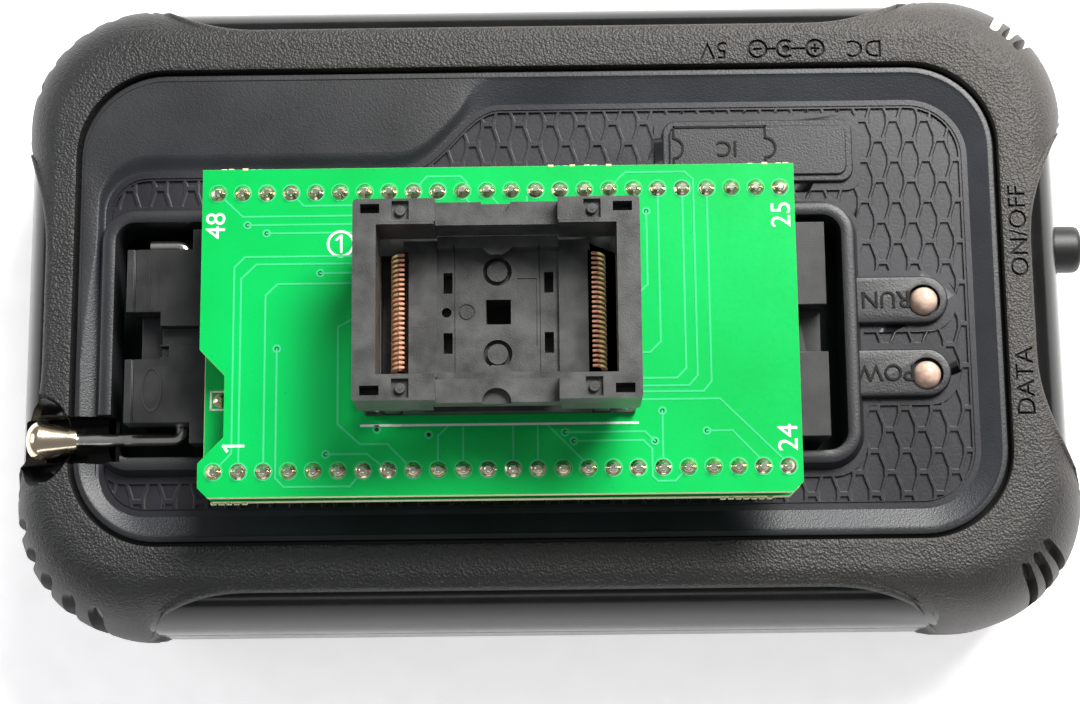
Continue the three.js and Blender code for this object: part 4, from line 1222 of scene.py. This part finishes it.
# %% Wire and knob
def tube(points, radius, sides=16, bend_radius=1.0, steps=6):
    """A round wire through points, with its corners bent to a radius."""
    path = [Vector(points[0])]
    for a, b, c in zip(points, points[1:], points[2:]):
        a, b, c = Vector(a), Vector(b), Vector(c)
        start = b + (a - b).normalized() * bend_radius
        end = b + (c - b).normalized() * bend_radius
        for i in range(steps + 1):
            t = i / steps
            path.append(start.lerp(b, t).lerp(b.lerp(end, t), t))
    path.append(Vector(points[-1]))
    bm = bmesh.new()
    loops = []
    for i, p in enumerate(path):
        ahead = path[min(i + 1, len(path) - 1)] - path[max(i - 1, 0)]
        turn = ahead.to_track_quat("Z", "Y").to_matrix().to_4x4()
        made = bmesh.ops.create_circle(bm, cap_ends=False, segments=sides, radius=radius)["verts"]
        bmesh.ops.transform(bm, matrix=Matrix.Translation(p) @ turn, verts=made)
        loops.append(made)
    for first, second in zip(loops, loops[1:]):
        near = [e for v in first for e in v.link_edges if e.other_vert(v) in first]
        far = [e for v in second for e in v.link_edges if e.other_vert(v) in second]
        bmesh.ops.bridge_loops(bm, edges=list(set(near) | set(far)))
    for end in (loops[0], loops[-1]):
        bmesh.ops.contextual_create(bm, geom=end)
    return bm


LEVER_X, LEVER_Z = -38.3, 24.2
wire_path = [
    (-49.6, LEVER_Y, LEVER_Z),
    (LEVER_X, LEVER_Y, LEVER_Z),
    (LEVER_X, 6.6, LEVER_Z),
    (LEVER_X - 3.8, 6.6, LEVER_Z),
]
make_piece("bent_lever_wire", tube(wire_path, 0.72), "lever", "steel", STEEL, ["lever_wire"])
KNOB = [(0, -55.0), (0.7, -54.93), (1.35, -54.7), (1.85, -54.3), (2.12, -53.85), (2.2, -53.5)]
KNOB += [(2.17, -53.3), (2.0, -52.8), (1.82, -52.0), (1.6, -51.0), (1.42, -50.2), (1.34, -49.7)]
KNOB += [(1.25, -49.45), (0, -49.4)]
knob = bmesh.new()
lathe(knob, KNOB, "x", (0, LEVER_Y, LEVER_Z), 48)
make_piece("lever_end_knob", knob, "lever", "nickel", NICKEL, ["lever_knob"], sharp=50)

# %% [markdown]
# ## The adapter's boards
#
# Two green boards are stacked on pin strips. Each board is one outline pulled up by its thickness,
# with a bay on the left that clears the lever and a row of holes along each long edge. Its edge is
# cream because it is cut glass fibre, so the faces that stand upright get the edge material. Where
# boards are snapped apart they keep small burrs, and this one has a few on each long edge.

# %% Boards
ADAPTER = {"x": -3.9, "y": -5.2, "half_x": 30.48, "half_y": 17.2, "row": 14.605, "thick": 1.2}
PIN_XS = [ADAPTER["x"] + (i - 11.5) * 2.54 for i in range(24)]
ROW_YS = (ADAPTER["y"] - ADAPTER["row"], ADAPTER["y"] + ADAPTER["row"])
LOWER_TOP, UPPER_TOP = 32.1, 35.8
STANDS_OUT = 0.35, 0.2  # how far the boards pass the pin grid's end, left and right


def board_outline(bay):
    """A board's outline, with its near corners cut off and a bay in its left side."""
    x0 = ADAPTER["x"] - ADAPTER["half_x"] - STANDS_OUT[0]
    x1 = ADAPTER["x"] + ADAPTER["half_x"] + STANDS_OUT[1]
    y0, y1 = ADAPTER["y"] - ADAPTER["half_y"], ADAPTER["y"] + ADAPTER["half_y"]
    low, high = ADAPTER["y"] - 13.7, ADAPTER["y"] - 1.9
    cut = [(x0, high), (x0 + bay, high - 2.7), (x0 + bay, low + 2.7), (x0, low)]
    return [(x0 + 1, y0), (x1 - 1, y0), (x1, y0 + 1), (x1, y1), (x0, y1)] + cut + [(x0, y0 + 1)]


def upright(face):
    """The edges that were cut show the glass fibre."""
    return 1 if abs(face.normal.z) < 0.5 else 0


def board(name, z, bay, node):
    bm = bmesh.new()
    slab(bm, board_outline(bay), z, z + ADAPTER["thick"])
    holes = bmesh.new()
    for y in ROW_YS:
        for x in PIN_XS:
            rod(holes, "z", 0.5, z - 1, z + 2, (x, y), 10)
    bm = combine(bm, holes)
    bmesh.ops.recalc_face_normals(bm, faces=bm.faces)
    finishes = [GREEN, CUT_EDGE]
    make_piece(
        name, bm, "adapter", "green_board", finishes, [node], 0.05, segments=1, paint=upright
    )


board("lower_adapter_board", 30.9, 0.0, "adapter_lower_board")
board("upper_adapter_board", 34.6, 2.6, "adapter_upper_board")

# %% Burrs on the snapped edges
NEAR_EDGE, FAR_EDGE = (-22.45, 31.0), (12.0, 34.8)
BURRS = [(-34.0, -30.0, *NEAR_EDGE), (18.6, 24.2, *NEAR_EDGE)]
BURRS += [(-33.6, -28.4, *FAR_EDGE), (1.2, 8.0, *FAR_EDGE), (22.0, 26.4, *FAR_EDGE)]
burrs = bmesh.new()
for x0, x1, y, z in BURRS:
    count = int((x1 - x0) / 0.7)
    for i in range(count):
        x = x0 + (x1 - x0) * i / count
        tall = 0.55 + 0.3 * math.sin(i * 2.4 + x0)
        block(burrs, x, x + 0.62, y - 0.14, y + 0.14, z, z + tall + 0.2)
make_piece("snapped_edge_burrs", burrs, "adapter", "green_board", CUT_EDGE, bevel=0.08)

# %% [markdown]
# ## Pin strips and solder
#
# Each strip is a row of 24 little plastic blocks with a pin through each, round where it plugs into
# the socket and square between the boards. The waists between the blocks come from bevelling their
# upright corners. On the top board every pin ends in a solder cone, which is a profile turned about
# the pin: wide and thin on its pad, steep round the pin, and blunt on top.


# %% Strips, pins and solder
def strip(name, y, z, node, pin_half, low, high, round_pins=False):
    """A row of blocks from height z up, and its pins from low to high."""
    plastic, pins = bmesh.new(), bmesh.new()
    for x in PIN_XS:
        plate(plastic, x - 1.26, x + 1.26, y - 1.22, y + 1.22, z + 0.02, z + 2.48, 0.35, 1)
        if round_pins:
            rod(pins, "z", pin_half, low, high, (x, y), 12)
        else:
            box_at(pins, x, y, pin_half, pin_half, low, high)
    look = ("black_plastic", HEADER_BLACK)
    make_piece(name + "_plastic", plastic, "adapter", *look, [node], 0.08, segments=1)
    make_piece(name + "_pins", pins, "adapter", "steel", STEEL, bevel=0.06, segments=1)


for i, y in enumerate((-11.62, 3.62), 1):
    strip(f"plug_strip_{i}", y, 28.4, f"plug_header_{i}", 0.25, 24.8, 30.9, True)
for i, y in enumerate(ROW_YS, 1):
    strip(f"stacking_strip_{i}", y, LOWER_TOP, f"stacking_header_{i}", 0.3, 30.3, 36.5)

# %% Solder on the top board
ON_PAD = UPPER_TOP - 0.02  # everything on the board starts a hair inside it
solder, pads = bmesh.new(), bmesh.new()
for row, y in enumerate(ROW_YS):
    for i, x in enumerate(PIN_XS):
        wobble = 0.06 * math.sin(i * 5.1 + row * 2)
        top = UPPER_TOP + 0.62 + wobble
        cone = bmesh.new()
        profile = [(0, top), (0.22, top), (0.34, top - 0.06), (0.5, top - 0.26)]
        profile += [(0.66, top - 0.46), (0.84 + wobble / 2, UPPER_TOP + 0.05)]
        profile += [(0.86, ON_PAD), (0, ON_PAD)]
        lathe(cone, profile, "z", (x + wobble / 2, y, 0), 20)
        pour(cone, solder)
        rod(pads, "z", 0.98, ON_PAD, UPPER_TOP + 0.035, (x, y), 24)
make_piece("solder_cones", solder, "adapter", "steel", SOLDER, sharp=60)
make_piece("solder_pads", pads, "adapter", "green_board", TRACK, bevel=0.02, segments=1)

# %% [markdown]
# ## Tracks, vias and ink
#
# Copper tracks under lacquer show as slightly raised lines of lighter green, so each track is a
# very low rib along its own route. A via is a small ring round a near-black disc, painted shade
# where its hole is. The ink is flat text, made solid and 0.02 mm thick: pin numbers and a circled 1
# for the chip's first pin.

# %% Tracks and vias
TRACKS = [
    [(-33.1, 9.4), (-30.5, 6.9), (-18, 6.9)],
    [(-30, 6), (-18, 6)],
    [(-28, 5.1), (-18, 5.1)],
    [(-25.5, 9.4), (-24.2, 8), (-18, 8)],
    [(-33.1, -19.8), (-31.3, -17.9), (-31.3, 1.5), (-30.2, 2.6), (-18, 2.6)],
    [(-30.57, -19.8), (-30.57, 0.3), (-29, 1.8), (-18, 1.8)],
    [(-28.03, -19.8), (-28.03, -1.5), (-26.8, -0.3), (-18, -0.3)],
    [(-26.8, -7.1), (-26.8, -20.5), (-25.9, -21.4), (-19.2, -21.4), (-17.87, -19.8)],
    [(-22.4, 0.8), (-18, 0.8)],
    [(-18.2, -3.6), (-20.5, -4.9), (-20.5, -15), (-18.2, -17.1), (-15.4, -17.1), (-12.8, -19.8)],
    [(-21.7, -18.1), (-17.5, -18.1), (-15.33, -19.8)],
    [(-10.25, -19.8), (-10.25, -16.3), (-9.3, -15.4)],
    [(-7.7, -19.8), (-7.7, -15.2)],
    [(-2.6, -19.8), (-2.6, -15.2)],
    [(-0.1, -19.8), (-0.1, -15.2)],
    [(5, -19.8), (4.5, -19), (1, -15.4)],
    [(2.67, -16.1), (10.8, -16.1), (11.8, -17.1)],
    [(3.56, -17), (10.6, -17), (11.5, -17.9), (11.5, -20.7), (12, -21.2), (13.8, -21.2)]
    + [(15.15, -19.8)],
    [(12.61, -14), (12.61, -19.8)],
    [(17.1, -16.1), (19.7, -16.1), (22.8, -19.4)],
    [(10.4, -12.8), (18.5, -12.8), (25.3, -19.6)],
    [(17.7, 9.4), (17.7, -11), (16.9, -12), (10.4, -12)],
    [(7.6, 9.4), (8.6, 10.6), (9.3, 11.2), (15.4, 11.2), (16.3, 10.4), (16.3, -10.4)]
    + [(15.4, -11.4), (10.4, -11.4)],
    [(15.15, 9.4), (15.15, -9.6), (14.2, -10.6), (10.4, -10.6)],
    [(12.6, 9.4), (12.6, -6.8), (11.5, -7.9), (10.4, -7.9)],
    [(11.37, 7), (11.37, -0.8), (10.4, -1.7)],
    [(-5.2, 9.4), (-3.7, 7.6)],
    [(-1, 8.7), (-1, 7)],
    [(-12.8, 9.4), (-11.4, 11), (-7.9, 11), (-7.2, 10.3), (-7.2, 8.4), (-6, 7.2)],
]
VIAS = [(-30, 6), (-28, 5.1), (-26.8, -7.1), (-22.4, 0.8), (-21.7, -18.1), (2.67, -16.1)]
VIAS += [(11.8, -17.1), (3.56, -17), (12.61, -14), (17.1, -16.1), (11.37, 7), (-16.5, -15.6)]
VIAS += [(-11.2, -16.2)]
tracks, holes = bmesh.new(), bmesh.new()
for route in TRACKS:
    rib(tracks, route, 0.2, ON_PAD, UPPER_TOP + 0.025)
for x, y in VIAS:
    sign_ring(tracks, (x, y), 0.34, 0.22, ON_PAD, UPPER_TOP + 0.03)
    # each via's hole is a dark disc on the board: painted shade
    rod(holes, "z", 0.24, ON_PAD, UPPER_TOP + 0.012, (x, y), 16)
make_piece("board_tracks", tracks, "adapter", "green_board", TRACK)
make_piece("via_hole_shade", holes, "adapter", "green_board", HOLE_SHADE)

# %% Ink
INK_Z = (UPPER_TOP - 0.01, UPPER_TOP + 0.03)
ink_ring, ink_line = bmesh.new(), bmesh.new()
sign_ring(ink_ring, (-20.3, 3.9), 1.32, 0.26, *INK_Z)
block(ink_line, -18.2, 10.2, -15.32, -15.08, *INK_Z)
rib(ink_line, [(-20.75, 4.35), (-20.25, 4.75), (-20.25, 3.05)], 0.24, *INK_Z)
rib(ink_line, [(-31.75, -17.65), (-32.1, -17.15), (-30.1, -17.15)], 0.28, *INK_Z)
ink = gather(
    lettering("48", 2.9, (-33.2, 6.0), 90, *INK_Z),
    lettering("25", 2.9, (25.4, 6.5), 90, *INK_Z),
    lettering("24", 2.9, (25.4, -16.9), 90, *INK_Z),
    ink_ring,
    ink_line,
)
make_piece("board_ink", ink, "adapter", "green_board", INK)

# %% The first pad of the lower board, which shows in the upper board's bay
PAD_X, PAD_Y = -33.1, -11.8
pad_z = (LOWER_TOP - 0.01, LOWER_TOP + 0.03)
first_pad = bmesh.new()
for side in BOTH_SIDES:
    box_at(first_pad, PAD_X + side * 0.95, PAD_Y, 0.1, 1.05, *pad_z)
for side in BOTH_SIDES:
    box_at(first_pad, PAD_X, PAD_Y + side * 0.95, 0.95, 0.1, *pad_z)
make_piece("first_pad_frame", first_pad, "adapter", "green_board", INK)
joint = bmesh.new()
joint_profile = [(0, 32.5), (0.3, 32.45), (0.6, 32.2), (0.75, 32.09), (0, 32.09)]
lathe(joint, joint_profile, "z", (PAD_X, PAD_Y, 0), 20)
make_piece("first_pad_solder", joint, "adapter", "steel", SOLDER)
print("tracks:", len(TRACKS), "vias:", len(VIAS))

# %% [markdown]
# ## The chip socket
#
# The chip drops into the open frame, and pressing the frame down makes two rows of fingers lean
# back. The base has a seat, posts and windows, and the frame has corner blocks, lower bars in the
# middle of its long sides and finger notches. Both are a few blocks joined and cut. The Bevel
# modifier softens every edge, as moulding does, and that is what makes them read as real.

# %% Chip socket base
CHIP = {"half_x": 14.15, "half_y": 10.1, "top": 47.2, "cover_z": 41.1}
cx, cy = -3.9, -4.5
SEAT = 40.0
POST_X, POST_Y = 12.55, 8.9  # the four springs
WINDOW_XS = (-14.65, 6.4)  # the base's side windows, and the latches that hook into them
seat = bmesh.new()
box_at(seat, cx, cy, 13.75, 9.7, 35.82, 37.8)
seat_parts = [
    (cx - 12.65, cx + 12.65, cy - 8.5, cy + 8.5, 37.0, 38.8),
    (cx - 6.25, cx + 6.2, cy - 6.65, cy + 6.8, 37.0, SEAT),
    (cx - 9.57, cx - 6.2, cy - 7.4, cy + 7.4, 37.0, SEAT + 0.5),
    (cx + 6.1, cx + 9.25, cy - 7.4, cy + 7.4, 37.0, SEAT + 0.5),
    (cx - 6.1, cx + 6.1, cy + 6.4, cy + 7.6, 37.0, SEAT + 1.6),
    (cx - 6.1, cx + 6.1, cy - 7.6, cy - 6.4, 37.0, SEAT + 1.6),
]
for part in seat_parts:
    more = bmesh.new()
    block(more, *part)
    seat = combine(seat, more, "UNION")
tongues = bmesh.new()
for sy in BOTH_SIDES:
    rod(tongues, "z", 1.8, 38.5, SEAT + 1.6, (cx - 0.1, cy + sy * 7.4), 32)
within = bmesh.new()
box_at(within, cx, cy, 5, 7.55, 38, 43)
tongues = combine(tongues, within, "INTERSECT")
seat = combine(seat, tongues, "UNION")
seat_cuts = bmesh.new()
block(seat_cuts, cx - 1.25, cx + 1.25, cy - 1.2, cy + 1.35, 34, ABOVE)
for sx in BOTH_SIDES:
    box_at(seat_cuts, cx + sx * 10.5, cy, 1.45, 6.3, 36.6, ABOVE)
    for sy in BOTH_SIDES:
        box_at(seat_cuts, cx + sx * 5.1, cy + sy * 3.1, 0.46, 1.07, 37.5, ABOVE)
        rod(seat_cuts, "z", 1.25, 36.5, ABOVE, (cx + sx * POST_X, cy + sy * POST_Y), 20)
rod(seat_cuts, "z", 0.5, 38.6, ABOVE, (-9.14, -4.43), 24)
FAINT = SEAT - 0.12  # floor of the mould marks
block(seat_cuts, -2.04, -0.01, -8.0, -0.96, FAINT, ABOVE)
seat = combine(seat, seat_cuts)
grooves = bmesh.new()
for sy in BOTH_SIDES:
    sign_ring(grooves, (cx - 0.1, cy + sy * 4.25), 1.25, 0.42, SEAT - 0.9, 42)
for x in (-8.35, 0.26):
    block(grooves, x - 0.07, x + 0.07, -11.0, 2.2, FAINT, 42)
sign_ring(grooves, (-7.12, -4.41), 0.76, 0.14, FAINT, 42)
for sx in BOTH_SIDES:
    box_at(grooves, cx + sx * 13.75, cy, 0.6, 6, 36.6, 37.3)
for x in WINDOW_XS:
    block(grooves, x - 0.95, x + 0.95, cy - 11, cy - 9.2, 36.2, 38)
    block(grooves, x - 0.95, x + 0.95, cy + 9.2, cy + 11, 36.2, 38)
seat = combine(seat, grooves)
CHIP_LOOK = ("chip_socket_plastic", CHIP_BLACK)
make_piece("chip_seat", seat, "adapter", *CHIP_LOOK, ["chip_socket_base"], 0.1)
shade = bmesh.new()
plate(shade, cx - 1.35, cx + 1.35, cy - 1.3, cy + 1.45, 35.83, 35.93, 0.2, 2)
make_piece("seat_window_shade", shade, "adapter", "chip_socket_plastic", HOLE_SHADE)

# %% Chip socket frame
top, low = CHIP["top"], CHIP["cover_z"]
cover = bmesh.new()
x_limits = (cx - CHIP["half_x"], cx + CHIP["half_x"])
y_limits = (cy - CHIP["half_y"], cy + CHIP["half_y"])
plate(cover, *x_limits, *y_limits, low, top, 0.35, 2)
cover_cuts = bmesh.new()
box_at(cover_cuts, cx, cy, 11.85, 7.75, low - 1, top + 1)
cover = combine(cover, cover_cuts)


def reach_out(middle, side, near, far):
    """The limits of something that lies near to far from a middle, on one side of it."""
    return sorted((middle + side * near, middle + side * far))


bars = bmesh.new()
for sx, sy in CORNERS:
    beside, along = reach_out(cx, sx, 6.15, 11.9), reach_out(cy, sy, 7.5, 7.9)
    block(bars, *beside, *along, low, top - 0.02)
cover = combine(cover, bars, "UNION")

# %% Notches, slots and guide pins of the frame
PIN_X = 9.45
cover_cuts = bmesh.new()
for sy in BOTH_SIDES:
    block(cover_cuts, cx - 6.05, cx + 6.05, *reach_out(cy, sy, 6, 12), top - 1.75, top + 1)
    rod(cover_cuts, "z", 1.45, top - 2.6, top + 1, (cx - 0.1, cy + sy * 10.1), 32)
    for sx in BOTH_SIDES:
        box_at(cover_cuts, cx + sx * 12.45, cy + sy * 9.1, 0.95, 0.48, top - 2.2, top + 1)
        rod(cover_cuts, "z", 1.1, low - 1, low + 1.7, (cx + sx * POST_X, cy + sy * POST_Y), 24)
        box_at(cover_cuts, cx + sx * PIN_X, cy + sy * POST_Y, 0.85, 0.95, top - 0.55, top + 1)
    block(cover_cuts, cx - 6.45, cx + 6.2, *reach_out(cy, sy, 9.75, 12), low - 1, top - 3.2)
for sx in BOTH_SIDES:
    block(cover_cuts, *reach_out(cx, sx, 13.8, 16), cy - 5.2, cy + 5.2, low - 1, low + 2.4)
cover = combine(cover, cover_cuts)
make_piece("press_down_frame", cover, "cover", *CHIP_LOOK, ["chip_socket_cover"], 0.14)
pins = bmesh.new()
for sx, sy in CORNERS:
    rod(pins, "z", 0.52, top - 0.6, top - 0.12, (cx + sx * PIN_X, cy + sy * POST_Y), 24)
    rod(pins, "z", 0.2, top - 0.5, top - 0.08, (cx + sx * PIN_X, cy + sy * POST_Y), 16)
make_piece("frame_guide_pins", pins, "cover", *CHIP_LOOK, bevel=0.06)
latches = bmesh.new()
for x in WINDOW_XS:
    for sy in BOTH_SIDES:
        plate(latches, x - 0.8, x + 0.8, *reach_out(cy, sy, 9.55, 9.95), 38.6, 42.2, 0.12, 2)
make_piece("frame_latches", latches, "cover", "chip_socket_plastic", HEADER_BLACK, bevel=0.08)

# %% [markdown]
# ## The contact fingers
#
# Each row has 24 sprung fingers half a millimetre apart. One finger is a flat outline of its side
# view pulled out to its width, and the row is copies of it. The tip hooks inwards over the chip's
# leads, which is where the copper is polished by use.

# %% Fingers
FINGER = [(9.9, 36.8), (11.0, 36.8), (10.95, 38.6), (10.75, 40.3), (10.35, 41.1), (9.95, 41.45)]
FINGER += [(9.42, 41.42), (9.4, 41.1), (9.8, 40.98), (10.1, 40.6), (10.3, 39.8), (10.4, 38.4)]
FINGER += [(10.3, 37.5), (9.9, 37.4)]
PITCH, FINGER_WIDTH = 0.5, 0.25
for side, name in ((-1, "left"), (1, "right")):
    row = bmesh.new()
    for i in range(24):
        y = cy + (i - 11.5) * PITCH - 0.135
        pull(row, [(cx + side * x, y, z) for x, z in FINGER], (0, FINGER_WIDTH, 0))
    node = f"chip_contacts_{name}"
    look = ("copper", COPPER)
    make_piece(f"finger_row_{name}", row, f"contacts_{name}", *look, [node], 0.03, segments=1)

# %% [markdown]
# ## Ports, button and lights
#
# These are small turned or boxed parts. The button and the two lights are turned profiles. The
# data port's shell is folded steel with a blue tongue inside, and the power inlet is a black block
# with a round bore and a pin, so both keep their solids, trimmed, and get soft edges.

# %% Button and lights
BLACK_LOOK = ("black_plastic", HEADER_BLACK)
push = bmesh.new()
r, tip = BUTTON["r"], BUTTON["tip"]
push_profile = [(0, tip - 0.25), (1.5, tip - 0.22), (1.95, tip - 0.05), (2.2, tip)]
push_profile += [(r - 0.2, tip - 0.12), (r - 0.02, tip - 0.5), (r, tip - 1.0)]
push_profile += [(r, tip - 8.2), (0, tip - 8.2)]
lathe(push, push_profile, "x", (0, BUTTON["y"], BUTTON["z"]), 48)
make_piece("push_button", push, "power_button", *BLACK_LOOK, ["power_button"], sharp=50)
BULB = [(0, 26.48), (0.45, 26.42), (0.85, 26.22), (1.2, 25.88), (1.4, 25.45), (1.48, 25.0)]
BULB += [(1.48, 21.9), (1.9, 21.9), (1.9, 21.0), (0, 21.0)]
for node, y in (("run_led", -0.5), ("power_led", -8.6)):
    bulb = bmesh.new()
    lathe(bulb, BULB, "z", (TAB["end"], y, 0), 40)
    make_piece(f"{node}_bulb", bulb, "case", "led_resin", LED, [node], sharp=40)


# %% Ports
def trimmed(node):
    """A port's solid, trimmed to what fits under the roll of the wall."""
    keep = bmesh.new()
    block(keep, 0, 57.3, -40, 34.7, 0, PORT_TOP)
    return combine(cad_copy(node), keep, "INTERSECT")


for name, node, slot, finish, bevel in (
    ("data_port_shell", "usb_port_shell", "steel", STEEL, 0.12),
    ("data_port_tongue", "usb_port_insert", "blue_plastic", BLUE, 0.1),
    ("inlet_block", "power_inlet", *BLACK_LOOK, 0.15),
):
    make_piece(name, trimmed(node), "case", slot, finish, [node], bevel)
inlet_pin = cad_copy("power_inlet_pin")
make_piece("inlet_pin", inlet_pin, "case", "nickel", NICKEL, ["power_inlet_pin"], 0.2)

# %% [markdown]
# ## The parts inside
#
# The boards, chips, spacers, screws and springs inside keep their CAD solids. They only show
# through gaps, but each still gets its own finish, chosen by what its name says it is.

# %% Finishes for the parts that stay
FINISHES = {
    "screw": STEEL,
    "spring": STEEL,
    "header": STEEL,
    "contacts": COPPER,
    "spacer": NICKEL,
    "board": INNER_GREEN,
    "capacitor": ALUMINIUM,
    "crystal": ALUMINIUM,
    "chip": RESIN,
    "inductor": RESIN,
    "link_socket": HEADER_BLACK,
    "switch": HEADER_BLACK,
}
for name, obj in NODES.items():
    finish = next((m for key, m in FINISHES.items() if key in name), HEADER_BLACK)
    obj.data.materials.clear()
    obj.data.materials.append(finish)
print("CAD nodes given a finish:", len(NODES))
